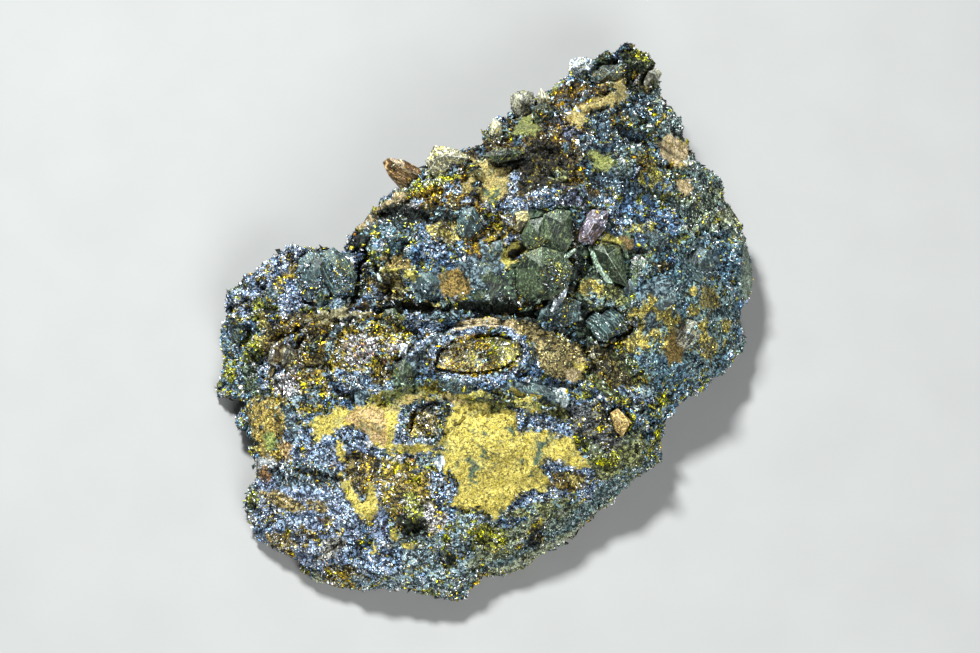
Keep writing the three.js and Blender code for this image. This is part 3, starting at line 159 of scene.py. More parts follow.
# Where each finish lies: an outline on the display face. A later one covers an earlier one.
ZONES = [
    ("grey_druse", "590 20, 680 30, 775 240, 775 340, 720 410, 690 425, 640 400, 636 230, 600 190"),
    ("amber_night", "470 150, 500 125, 540 100, 575 75, 600 60, 628 60, 640 100, 640 150, 610 200, "
        "575 215, 520 215, 480 210, 450 190, 400 180, 395 160"),
    ("night_druse", "628 60, 645 62, 655 90, 662 120, 660 150, 668 170, 660 190, 640 200, 600 195, "
        "582 186, 585 160, 575 145, 590 135, 580 122, 590 112, 612 108, 630 98"),
    ("dark_olive_druse", "575 72, 600 55, 612 36, 645 32, 664 45, 672 78, 660 90, 645 92, 630 88, 626 66, "
        "610 62, 590 80"),
    ("grey_light_druse", "655 85, 672 85, 692 115, 708 150, 726 175, 740 200, 704 200, 680 190, 690 165, "
        "686 140, 668 135, 660 118"),
    ("cream_druse", "672 190, 690 200, 712 180, 738 196, 758 235, 745 250, 725 240, 700 235, 680 228, "
        "666 208"),
    ("blue_druse", "596 200, 640 195, 670 205, 682 225, 664 252, 630 250, 612 232, 600 215"),
    ("grey_light_druse", "612 150, 635 144, 652 150, 655 180, 640 172, 620 180, 608 170"),
    ("amber_druse", "394 190, 420 178, 450 180, 480 186, 500 205, 520 210, 524 240, 500 250, 480 262, "
        "470 280, 462 250, 466 232, 440 222, 410 222, 392 210"),
    ("amber_dark", "485 160, 512 150, 540 140, 560 150, 575 170, 560 190, 530 196, 510 190, 514 172, "
        "500 172"),
    ("yellow_green_druse", "385 186, 400 176, 430 168, 455 168, 462 178, 440 186, 415 192, 400 196"),
    ("blue_grey_rock", "366 222, 400 222, 416 232, 420 262, 402 274, 380 270, 362 258, 360 238"),
    ("blue_druse", "416 236, 440 240, 462 244, 468 262, 455 276, 430 280, 414 272"),
    ("brown_dark_druse", "364 272, 385 268, 402 276, 412 296, 390 300, 366 292"),
    ("slate_facet", "412 276, 440 272, 448 284, 440 302, 420 304, 410 292"),
    ("slate_facet", "455 262, 480 256, 500 262, 508 285, 500 304, 470 308, 455 300"),
    ("slate_facet", "455 212, 470 206, 484 218, 480 236, 462 238"),
    ("slate_facet", "478 240, 498 236, 505 250, 500 268, 484 262"),
    ("amber_druse", "478 222, 500 212, 522 218, 524 242, 505 250, 486 246"),
    ("lilac_druse", "480 205, 520 200, 545 190, 560 200, 545 215, 520 218, 490 216"),
    ("lilac_night", "538 196, 560 186, 580 190, 586 206, 572 216, 545 216"),
    ("blue_white_druse", "500 212, 525 200, 552 206, 560 214, 530 218, 505 220"),
    ("olive_facet", "512 214, 575 208, 625 215, 632 240, 632 290, 622 320, 600 345, 575 345, 550 330, "
        "512 312, 500 300, 508 262, 520 240"),
    ("olive_dusted", "578 282, 602 278, 628 292, 622 312, 606 306, 590 296"),
    ("night_speckle", "543 262, 568 258, 574 272, 566 288, 548 292, 540 276"),
    ("night_druse", "546 316, 566 312, 574 326, 562 338, 548 332"),
    ("shadow", "569 214, 577 212, 576 246, 570 250"),
    ("shadow", "566 254, 577 248, 585 262, 578 286, 568 292, 570 272"),
    ("shadow", "500 296, 520 300, 536 304, 530 314, 508 310"),
    ("shadow", "574 306, 590 304, 588 322, 578 332"),
    ("lilac_druse", "575 214, 605 210, 618 222, 606 236, 590 248, 574 244"),
    ("blue_white_druse", "606 212, 622 214, 628 228, 614 240, 604 234"),
    ("olive_druse", "628 250, 650 246, 660 270, 650 285, 632 285"),
    ("slate_fine", "640 272, 655 252, 690 240, 745 238, 756 300, 750 330, 738 372, 718 398, 684 414, "
        "655 400, 642 375, 625 350, 622 325, 632 300"),
    ("slate_facet", "636 292, 655 276, 672 282, 668 298, 650 304, 636 306"),
    ("slate_facet", "680 262, 692 246, 712 244, 720 262, 708 284, 686 282"),
    ("slate_druse", "700 232, 728 230, 748 246, 748 280, 730 290, 716 272, 716 250"),
    ("slate_dusted", "690 285, 720 282, 735 300, 730 340, 712 366, 690 352, 684 320"),
    ("pale_wall", "744 236, 752 236, 766 262, 762 292, 748 304, 742 286, 745 262"),
    ("golden_crust", "620 340, 628 308, 648 296, 670 304, 680 322, 666 336, 664 352, 640 356, 624 352"),
    ("slate_facet", "640 318, 652 312, 658 322, 648 332"),
    ("rust", "664 342, 670 332, 682 324, 684 345, 679 360, 668 364, 662 354"),
    ("orange_spots", "700 284, 716 288, 722 300, 712 312, 700 302"),
    ("golden_crust", "694 318, 708 316, 706 332, 694 330"),
    ("orange_spots", "702 340, 716 338, 718 352, 706 360, 698 350"),
    ("olive_brown_druse", "572 346, 600 344, 622 352, 645 372, 652 398, 640 410, 612 402, 588 384, "
        "575 370"),
    ("brown_dark_druse", "576 340, 596 346, 618 362, 636 384, 640 400, 620 396, 600 378, 580 362"),
    ("shadow", "626 404, 640 400, 650 404, 648 414, 634 416"),
    ("lilac_druse", "215 262, 250 250, 300 242, 312 262, 304 300, 290 322, 262 328, 236 322, 215 310"),
    ("pale_blue_druse", "208 300, 240 318, 262 328, 290 322, 296 345, 285 380, 275 405, 240 400, 215 385, "
        "205 350"),
    ("olive_yellow_druse", "248 302, 262 296, 278 304, 280 324, 262 330, 248 320"),
    ("olive_yellow_druse", "238 340, 254 334, 266 344, 260 362, 244 364"),
    ("green_grey_druse", "238 368, 262 364, 272 380, 262 398, 244 392"),
    ("slate_facet", "296 262, 318 246, 345 244, 362 268, 364 300, 340 308, 310 308, 298 292"),
    ("olive_facet", "308 262, 322 256, 330 275, 333 295, 318 302, 310 285"),
    ("lilac_rim", "298 264, 306 254, 317 248, 321 254, 310 263, 304 280, 299 284"),
    ("lilac_druse", "297 284, 306 280, 316 290, 318 303, 304 306, 296 298"),
    ("blue_white_druse", "333 264, 342 270, 352 282, 352 300, 340 305, 335 290, 333 275"),
    ("dark_olive_druse", "353 270, 362 280, 366 297, 356 300, 354 285"),
    ("yellow_streak", "323 252, 332 254, 341 260, 351 264, 355 276, 350 280, 342 270, 332 266"),
    ("shadow", "346 234, 360 230, 372 240, 366 262, 374 278, 362 288, 352 262"),
    ("brown_druse", "262 322, 300 312, 345 312, 360 318, 345 345, 325 372, 300 380, 272 372, 262 350"),
    ("golden_druse", "330 330, 350 322, 395 322, 425 332, 428 352, 412 372, 400 392, 360 396, 336 380, "
        "326 356"),
    ("pink_white_druse", "345 338, 365 330, 380 345, 370 362, 350 360"),
    ("blue_white_druse", "336 368, 360 372, 385 384, 400 376, 402 390, 370 398, 340 390"),
    ("brown_facet", "268 342, 290 334, 302 348, 298 366, 276 372, 266 360"),
    ("golden_druse", "272 372, 300 366, 326 372, 334 392, 322 410, 296 416, 274 404"),
    ("pink_white_druse", "278 374, 298 370, 304 388, 288 398, 276 392"),
    ("blue_druse", "270 404, 292 414, 320 412, 336 400, 344 414, 330 436, 304 448, 288 440, 276 425"),
    ("beige_streak", "306 322, 322 312, 345 308, 372 306, 378 316, 352 322, 340 320, 322 324"),
    ("rust_streak", "348 312, 352 305, 372 302, 374 306, 360 310"),
    ("blue_white_druse", "370 300, 410 306, 440 312, 446 326, 430 336, 400 326, 372 318"),
    ("olive_druse", "376 312, 398 310, 404 320, 390 328, 376 322"),
    ("slate_streak", "396 362, 420 338, 446 322, 452 332, 436 352, 420 372, 408 380"),
    ("slate_facet", "396 364, 408 356, 418 366, 416 388, 402 396, 392 384"),
    ("peach", "444 330, 460 320, 490 316, 515 316, 530 326, 520 334, 505 328, 480 327, 458 334"),
    ("beige_speckle", "505 314, 530 316, 552 326, 572 340, 584 352, 580 372, 566 382, 545 374, 532 352, "
        "526 336, 514 326"),
    ("blue_white_druse", "430 348, 446 332, 480 326, 506 328, 524 340, 528 360, 516 374, 490 384, 450 382, "
        "430 370"),
    ("oval_druse", "434 352, 450 338, 480 331, 508 335, 526 346, 523 364, 498 374, 460 376, 438 370"),
    ("pink_white_druse", "436 352, 444 343, 452 342, 456 352, 452 366, 440 366"),
    ("olive_yellow_druse", "488 338, 506 338, 520 348, 516 362, 500 366, 490 352"),
    ("golden_druse", "466 350, 480 346, 490 352, 486 364, 470 368, 462 360"),
    ("slate_facet", "520 340, 532 342, 536 358, 526 372, 518 366"),
    ("olive_gold", "404 392, 420 382, 440 392, 480 392, 520 384, 560 392, 580 410, 588 424, 576 432, "
        "545 416, 510 404, 480 408, 455 402, 430 396, 412 404"),
    ("slate_facet", "436 378, 456 372, 476 382, 478 392, 456 392, 440 390"),
    ("yellow_streak", "436 390, 456 393, 478 390, 500 388, 480 396, 452 397"),
    ("slate_facet", "500 382, 540 378, 566 392, 560 404, 530 400, 505 394"),
    ("ochre", "508 388, 528 384, 542 390, 540 398, 520 400"),
    ("blue_white_druse", "502 410, 520 406, 550 414, 580 426, 590 436, 570 436, 540 428, 512 420"),
    ("white_blade", "553 388, 563 386, 569 402, 564 408, 556 400"),
    ("shadow", "345 298, 400 299, 440 303, 500 300, 520 306, 548 318, 566 330, 600 345, 590 350, 556 332, "
        "500 314, 440 311, 380 306"),
    ("ochre_edge", "246 400, 262 396, 280 400, 290 420, 300 432, 304 456, 286 464, 264 458, 250 440"),
    ("olive_green", "266 434, 276 432, 280 446, 268 452"),
    ("orange_speckle", "280 442, 300 440, 302 458, 284 464"),
    ("pale_blue_druse", "236 420, 250 424, 258 444, 256 462, 242 450"),
    ("shelf_druse", "296 436, 330 424, 350 436, 378 440, 392 456, 385 500, 400 560, 340 580, 300 560, "
        "260 540, 240 520, 246 480, 262 462, 290 458"),
    ("blue_white_druse", "288 412, 310 418, 332 432, 350 420, 368 436, 352 446, 320 444, 300 456, 288 440"),
    ("white_band", "254 460, 268 454, 282 462, 286 474, 270 466, 256 468"),
    ("rust_dark", "258 464, 270 464, 276 474, 268 482, 260 478"),
    ("night_speckle", "270 468, 300 458, 330 464, 350 470, 345 486, 310 484, 280 486"),
    ("amber_streak", "258 490, 280 488, 306 502, 300 512, 276 504"),
    ("pale_blue_druse", "240 476, 256 470, 260 500, 256 530, 244 524"),
    ("blue_white_druse", "240 512, 262 508, 276 522, 262 536, 240 528"),
    ("brown_druse", "344 452, 360 446, 380 458, 382 478, 368 492, 352 484"),
    ("night_speckle", "342 470, 350 478, 366 494, 378 490, 370 500, 352 494"),
    ("gold_brown_druse", "384 452, 410 450, 440 462, 450 472, 440 500, 430 522, 400 524, 382 500"),
    ("gold_grey_druse", "390 520, 430 512, 460 508, 500 515, 510 540, 490 570, 470 590, 420 600, 360 600, "
        "330 590, 340 566, 400 556"),
    ("blue_white_druse", "350 540, 380 536, 405 546, 400 566, 370 570, 348 560"),
    ("pink_white_druse", "400 505, 430 500, 450 512, 440 530, 410 528"),
    ("brown_streak", "316 560, 322 544, 345 532, 350 540, 330 556"),
    ("golden_druse", "326 566, 350 560, 372 572, 366 590, 340 594, 326 582"),
    ("cream_edge", "318 566, 336 590, 370 588, 420 596, 460 600, 465 606, 330 606, 310 580"),
    ("dark_olive_druse", "400 512, 426 510, 428 530, 410 536, 398 524"),
    ("shadow", "446 548, 456 550, 456 564, 446 562"),
    ("shelf_olive", "590 430, 620 436, 650 420, 690 405, 664 440, 656 468, 632 494, 590 520, 560 540, "
        "520 560, 470 580, 466 560, 480 540, 520 520, 550 500, 575 480, 585 455"),
    ("olive_dusted", "570 470, 600 445, 640 440, 655 450, 640 470, 600 490, 560 505, 520 515, 500 515, "
        "520 500, 550 490"),
    ("shelf_slate", "600 480, 650 460, 655 475, 628 500, 590 522, 540 550, 470 585, 462 572, 500 556, "
        "550 530"),
    ("cream_edge", "640 480, 650 488, 620 512, 575 535, 530 560, 476 582, 472 576, 524 552, 580 522"),
    ("golden_druse", "516 540, 530 524, 540 514, 548 524, 544 540, 530 550"),
    ("shadow", "524 541, 531 531, 538 520, 542 523, 537 535, 529 545"),
    ("brown_violet_druse", "566 402, 600 400, 612 420, 622 440, 606 452, 590 440, 572 430"),
    ("blue_white_druse", "540 456, 560 458, 588 464, 600 480, 590 500, 560 494, 530 500, 512 508, 500 506, "
        "520 490, 546 490, 548 474"),
    ("brown_druse", "552 470, 580 470, 590 484, 570 490, 550 486"),
    ("ochre", "306 424, 316 420, 320 412, 330 414, 338 403, 352 408, 372 401, 400 401, 404 412, 397 440, "
        "440 436, 450 440, 432 452, 410 452, 384 448, 368 438, 356 424, 344 426, 332 432, 322 441, "
        "314 438, 318 428"),
    ("ochre_peach", "350 410, 372 404, 386 408, 390 430, 388 444, 372 440, 360 426, 346 420"),
    ("ochre", "443 412, 455 405, 480 409, 500 405, 515 412, 518 428, 545 430, 572 438, 580 452, 590 466, "
        "575 466, 558 458, 545 456, 540 464, 550 476, 547 490, 532 487, 520 489, 511 499, 505 508, "
        "496 519, 486 509, 478 505, 466 508, 452 503, 454 491, 458 482, 450 470, 438 464, 430 458, "
        "436 440"),
    ("ochre", "396 442, 430 438, 448 436, 448 446, 432 451, 418 454, 402 450"),
    ("peach", "418 402, 430 397, 448 396, 450 399, 432 400, 420 404"),
    ("ochre", "450 412, 453 402, 470 402, 488 402, 504 406, 500 414, 460 414"),
    ("olive_gold", "488 404, 500 404, 500 412, 492 412"),
    ("grey_green", "467 450, 474 455, 482 464, 475 472, 479 481, 471 476, 465 462"),
    ("grey_green", "478 443, 485 449, 497 447, 491 458, 483 452"),
    ("grey_green", "505 420, 512 424, 516 434, 510 432"),
    ("grey_green", "536 436, 546 438, 542 450, 538 470, 530 474, 533 456"),
    ("blue_white_druse", "432 472, 448 468, 456 484, 458 494, 444 500, 430 492"),
    ("gold_grey_druse", "418 456, 428 453, 438 449, 444 448, 442 458, 434 466, 420 464"),
    ("lilac_rim", "395 442, 399 424, 404 408, 420 403, 452 399, 450 408, 446 424, 440 438, 424 440, "
        "410 441"),
    ("pink_brown_druse", "408 435, 411 411, 441 408, 438 422, 435 435, 420 436"),
    ("ochre", "339 440, 345 442, 347 456, 341 460, 338 450"),
    ("ochre", "341 473, 349 476, 361 494, 368 500, 373 479, 378 490, 383 505, 366 516, 355 503, 347 492"),
    ("ochre", "392 536, 396 524, 400 536"),
    ("ochre", "372 550, 380 536, 380 549"),
    ("ochre", "404 540, 414 538, 414 546, 404 545"),
    ("ochre", "385 506, 396 504, 392 512"),
    ("beige", "467 156, 480 162, 490 160, 496 170, 513 172, 510 192, 500 204, 486 206, 477 196, 461 189, "
        "468 178"),
    ("grey_green", "486 190, 496 186, 502 192, 499 206, 487 207"),
    ("beige", "568 112, 590 100, 612 92, 628 88, 630 97, 612 106, 590 110, 580 130, 570 124"),
    ("beige", "594 72, 604 63, 622 66, 628 84, 624 94, 612 86, 598 82"),
    ("yellow_green", "510 132, 520 118, 531 104, 536 122, 544 132, 526 136, 516 138"),
    ("yellow_green", "546 82, 556 76, 564 80, 556 88"),
    ("peach", "658 142, 672 132, 686 138, 693 150, 690 164, 676 168, 662 158"),
    ("peach", "676 178, 692 180, 692 192, 682 198, 676 190"),
    ("yellow_speckle", "634 172, 650 164, 662 174, 674 186, 668 198, 650 190, 636 184"),
    ("yellow_green", "588 152, 604 154, 616 164, 606 174, 592 172"),
    ("yellow_speckle", "626 222, 640 224, 642 234, 628 234"),
    ("yellow_speckle", "645 224, 656 224, 654 236, 646 234"),
    ("rust_streak", "617 236, 630 240, 634 252, 622 250"),
    ("yellow_streak", "595 240, 610 234, 620 244, 618 252, 602 248"),
    ("peach", "350 230, 372 212, 390 198, 398 188, 406 196, 388 212, 366 228"),
    ("shadow", "372 214, 395 203, 430 210, 462 220, 445 227, 405 224, 380 222"),
    ("bright_gold", "425 228, 445 221, 464 228, 466 240, 450 245, 434 243"),
    ("orange_crust", "380 258, 400 256, 414 262, 410 272, 390 270"),
    ("yellow_streak", "406 272, 416 272, 416 280, 408 280"),
    ("rust", "441 276, 458 269, 467 280, 472 288, 463 300, 448 302, 438 292"),
    ("yellow_streak", "498 252, 510 244, 530 238, 547 239, 544 247, 528 256, 518 264, 508 270, 500 262"),
    # painted shade inside the hollow of the yellow streak
    ("painted_hollow_shade", "505 256, 511 248, 526 243, 531 247, 522 257, 510 263"),
    ("golden_crust", "580 282, 592 279, 602 286, 600 296, 588 298, 578 291"),
    ("yellow_speckle", "551 264, 560 262, 571 268, 567 272, 558 276, 552 271"),
    ("bright_gold", "556 275, 563 274, 561 284, 556 283"),
    ("pink_white_druse", "548 312, 552 300, 560 289, 567 286, 564 298, 556 307, 551 313"),
    ("brown_facet", "578 240, 596 220, 600 224, 582 244"),
    ("olive_dusted", "556 172, 548 180, 560 186, 566 176"),
    ("deep_blue", "598 146, 612 144, 614 156, 600 158"),
    ("gold_grey_druse", "221 285, 232 276, 246 280, 240 296, 226 300"),
    ("slate_facet", "262 292, 270 286, 276 292, 272 302, 264 300"),
    ("slate_facet", "222 322, 234 320, 240 336, 230 345, 222 338"),
    ("blue_druse", "240 322, 254 322, 252 336, 240 338"),
    ("orange_spots", "258 312, 266 314, 270 328, 262 330"),
    ("orange_spots", "254 334, 266 336, 264 350, 256 346"),
    ("blue_white_druse", "258 358, 268 358, 272 378, 266 392, 256 384"),
    ("brown_facet", "269 360, 282 356, 276 370, 272 386, 268 380"),
    ("lilac_rim", "314 284, 318 278, 326 279, 328 286, 322 283"),
    ("blue_white_druse", "374 242, 384 238, 388 246, 378 248"),
    ("olive_yellow_druse", "364 252, 378 250, 380 260, 368 266"),
    ("yellow_streak", "376 266, 390 268, 402 270, 398 273, 384 271"),
    ("amber_druse", "362 276, 374 274, 378 284, 372 290, 364 286"),
    ("lilac_rim", "372 290, 382 292, 390 298, 378 302"),
    ("blue_white_druse", "420 240, 440 240, 452 250, 440 262, 424 258"),
    ("slate_facet", "372 306, 388 302, 396 306, 380 312"),
    ("yellow_green", "398 316, 406 314, 406 322, 400 323"),
    ("pink_white_druse", "388 342, 400 338, 404 350, 392 352"),
    ("pink_white_druse", "346 356, 362 356, 362 368, 348 366"),
    ("rust_dark", "378 356, 388 354, 390 361, 382 364"),
    ("olive_facet", "394 374, 404 366, 414 370, 418 382, 412 392, 398 392"),
    ("slate_facet", "352 392, 366 386, 372 396, 364 406, 354 402"),
    ("yellow_streak", "370 394, 382 390, 386 398, 376 402"),
    ("yellow_green", "384 390, 400 388, 412 386, 404 396, 388 400"),
    ("beige", "386 406, 398 397, 420 392, 446 392, 464 398, 470 406, 452 401, 430 399, 408 404, 396 411"),
    # yellow in a hollow, darkened as painted shade
    ("yellow_with_hollow_shade", "420 386, 436 380, 446 386, 440 396, 424 398"),
    ("peach", "562 372, 580 368, 580 378, 570 384"),
    ("ochre", "574 362, 586 364, 582 372, 576 370"),
    ("yellow_streak", "512 404, 524 408, 536 413, 540 410, 526 405, 516 402"),
    ("olive_yellow_druse", "638 44, 652 42, 656 54, 644 58"),
    ("brown_dark_druse", "606 118, 620 110, 634 112, 628 122, 612 128"),
    ("green_grey_druse", "630 116, 648 114, 658 124, 650 134, 634 128"),
    ("lilac_night", "562 128, 574 124, 582 134, 572 144, 562 138"),
    ("green_grey_druse", "393 176, 408 174, 416 182, 408 194, 396 190"),
    ("pink_white_druse", "410 202, 418 202, 420 208, 412 210"),
    ("golden_druse", "480 222, 500 214, 512 222, 506 240, 488 244"),
    ("brown_facet", "512 216, 526 212, 530 226, 518 236, 510 230"),
    ("slate_facet", "518 236, 534 232, 536 242, 524 248"),
    ("lilac_rim", "512 174, 520 176, 516 196, 508 204, 506 196"),
    ("blue_white_druse", "540 188, 556 190, 560 204, 546 212, 536 204"),
    ("blue_druse", "602 222, 610 220, 610 234, 603 236"),
    ("slate_streak", "640 236, 654 230, 666 240, 660 254, 646 256"),
    ("brown_dark_druse", "648 262, 660 262, 672 270, 656 272"),
    ("cream_edge", "722 208, 736 204, 744 216, 734 224, 722 220"),
    ("pale_blue_druse", "640 392, 680 384, 716 378, 716 392, 690 404, 664 420, 645 414"),
    ("gold_grey_druse", "612 388, 640 384, 662 396, 650 404, 630 402"),
    ("slate_facet", "282 402, 292 410, 300 425, 304 436, 296 440, 288 424"),
    ("amber_streak", "308 498, 330 500, 334 508, 316 510"),
    ("rust_dark", "320 514, 330 516, 328 522, 322 520"),
    ("blue_druse", "360 520, 370 522, 376 540, 366 546, 360 534"),
    ("pink_brown_druse", "268 530, 290 532, 300 545, 284 550, 270 542"),
    ("yellow_green_druse", "404 486, 420 492, 428 510, 414 516, 404 504"),
    ("yellow_green_druse", "468 526, 480 520, 500 524, 508 536, 490 546, 472 540"),
    ("cream_druse", "540 520, 552 514, 566 516, 560 526, 546 530"),
    ("olive_yellow_druse", "592 460, 612 446, 622 452, 606 470"),
    ("orange_spots", "560 470, 574 474, 584 480, 572 484"),
    ("pale_blue_druse", "640 412, 664 410, 662 440, 655 462, 640 462, 646 440"),
    ("golden_crust", "566 292, 574 290, 572 306, 562 318, 560 308"),
    ("olive_dusted", "582 296, 600 298, 606 306, 596 312, 584 306"),
    ("night_speckle", "590 298, 600 300, 598 308, 590 306"),
]

# Cracks: half width in mm, depth as a share, and the line that each follows. Grains in them are darkened by
# that depth as painted shade.
CRACKS = [
    (0.12, 0.7, "404 407, 414 403, 430 401, 448 399"),
    (0.2, 0.9, "409 434, 412 418, 414 411, 424 410"),
    (0.2, 0.7, "466 412, 470 408, 478 407"),
    (0.18, 0.7, "474 414, 486 411, 492 416"),
    (0.18, 0.6, "500 414, 508 418, 514 424, 517 432"),
    (0.18, 0.7, "456 424, 462 420, 466 416"),
    (0.35, 0.9, "319 252, 331 262, 335 277, 333 290, 327 303, 321 306"),
    (0.25, 0.6, "309 262, 303 272, 301 285"),
    (0.5, 0.8, "315 284, 320 290, 325 287"),
    (0.6, 1, "244 303, 249 312"),
    (0.45, 0.9, "256 287, 262 296"),
    (0.5, 1, "262 308, 266 320, 268 332"),
    (0.8, 1, "252 353, 258 361"),
    (0.4, 0.8, "227 318, 232 325, 238 333"),
    (0.5, 1, "286 340, 298 330, 310 322, 324 318, 338 322"),
    (0.5, 0.9, "296 340, 301 347"),
    (0.5, 0.9, "309 350, 317 347"),
    (0.35, 0.8, "277 374, 290 369, 305 367, 318 363"),
    (0.6, 0.9, "322 362, 330 370, 333 382, 340 392, 352 398"),
    (1.2, 1, "340 245, 350 251, 358 262, 362 272"),
    (0.7, 0.8, "345 300, 372 299, 392 302, 410 307, 430 311, 452 312, 470 312, 492 307"),
    (0.45, 1, "375 272, 381 285, 390 292, 402 296, 412 293"),
    (0.3, 0.8, "356 272, 370 270, 385 272, 402 273"),
    (0.3, 0.8, "384 222, 400 226, 410 231, 420 236"),
    (0.25, 0.6, "437 270, 441 262, 445 255"),
    (0.5, 0.9, "420 293, 430 300, 445 303, 460 300, 472 296"),
    (0.45, 0.9, "343 326, 352 319, 366 318, 380 318, 392 323, 404 327, 412 328, 424 333"),
    (0.5, 1, "398 360, 404 353, 412 345, 420 338, 428 334"),
    (0.45, 0.9, "422 352, 423 362, 419 372, 418 384"),
    (0.8, 1, "416 388, 424 386, 434 388"),
    (0.3, 0.7, "372 392, 378 398, 386 403"),
    (0.3, 0.8, "347 324, 341 335, 338 345, 334 352"),
    (0.3, 0.7, "522 357, 527 349, 530 343, 534 350, 536 356"),
    (0.25, 0.6, "540 352, 534 362"),
    (0.55, 0.9, "580 345, 588 358, 594 368, 588 374, 578 380, 572 386, 560 386"),
    (0.35, 0.7, "455 385, 470 389, 485 388, 500 395, 513 404"),
    (0.25, 0.6, "520 380, 536 384, 552 392, 566 404"),
    (0.45, 1, "519 283, 519 296, 523 307"),
    (0.9, 1, "546 300, 549 310, 553 316"),
    (0.5, 1, "573 216, 572 230, 570 244, 566 254"),
    (0.4, 0.9, "560 262, 575 262, 584 262"),
    (0.8, 1, "590 258, 584 270, 577 282, 570 292, 562 303, 556 312"),
    (0.45, 1, "625 262, 627 275, 625 290"),
    (0.35, 0.9, "627 268, 634 255, 640 248"),
    (0.5, 0.9, "606 301, 612 309"),
    (0.9, 1, "616 338, 624 331, 634 325"),
    (0.35, 0.7, "636 290, 644 280, 654 272, 668 270"),
    (0.4, 0.8, "541 128, 552 122, 562 112, 572 108"),
    (0.5, 0.8, "582 110, 598 110, 610 106"),
    (0.3, 0.7, "586 96, 598 93, 612 90"),
    (0.8, 0.7, "628 62, 633 72, 638 80"),
    (0.6, 0.9, "596 150, 606 155, 616 158"),
    (0.7, 0.8, "652 163, 662 168, 672 166"),
    (1, 1, "376 214, 396 212, 412 215, 428 219, 446 221"),
    (0.5, 1, "466 160, 471 168, 467 180"),
    (0.7, 1, "498 174, 508 172, 515 166"),
    (0.4, 0.9, "716 250, 717 262, 714 272"),
    (0.4, 0.9, "708 276, 714 275"),
    (0.4, 0.8, "706 228, 716 234, 724 238"),
    (0.6, 0.9, "676 216, 680 222"),
    (0.5, 0.8, "735 305, 738 315"),
    (1, 1, "604 356, 612 344, 622 333, 632 322"),
    (0.3, 0.9, "681 327, 677 336"),
    (0.3, 0.6, "700 366, 712 357, 726 350"),
    (0.9, 1, "636 406, 642 410, 650 408"),
    (0.4, 0.8, "712 382, 718 378"),
    (0.6, 0.8, "300 468, 316 472, 330 475, 344 478"),
    (0.3, 0.6, "366 440, 376 448, 378 458, 374 466"),
    (0.3, 0.7, "262 496, 270 505, 276 514"),
    (0.5, 0.9, "252 505, 262 512"),
    (0.4, 0.9, "296 532, 302 540"),
    (0.3, 0.7, "277 527, 290 530, 298 532"),
    (0.5, 0.7, "316 556, 328 546, 344 539"),
    (0.4, 0.7, "384 524, 388 534, 386 546"),
    (0.9, 0.9, "402 522, 412 529"),
    (0.2, 0.5, "515 415, 520 428, 526 440, 522 452"),
    (0.7, 1, "524 558, 532 552, 538 542, 541 534"),
    (0.45, 1, "440 550, 442 558, 448 562"),
    (0.7, 0.8, "474 565, 486 566"),
    (0.3, 0.6, "452 504, 466 508, 480 506, 488 513, 496 519"),
    (0.3, 0.6, "508 512, 516 500, 528 491, 538 490, 548 491, 549 480"),
    (0.5, 0.9, "582 422, 585 425"),
    (0.4, 0.8, "598 400, 606 405, 612 409"),
    (0.3, 0.8, "566 402, 569 415, 572 428"),
    (0.4, 0.9, "636 446, 636 452"),
    (0.3, 0.7, "616 486, 625 480"),
    (0.5, 0.9, "530 150, 545 150, 560 156"),
    (0.6, 0.8, "540 170, 552 176, 566 182"),
    (0.4, 0.8, "280 386, 288 400, 298 416, 307 432"),
    (0.35, 0.7, "384 196, 400 200, 418 196, 440 192"),
    (0.35, 0.8, "470 214, 462 222, 458 234"),
    (0.35, 0.7, "508 214, 504 228, 498 240"),
    (0.3, 0.8, "500 249, 516 241, 530 236"),
]
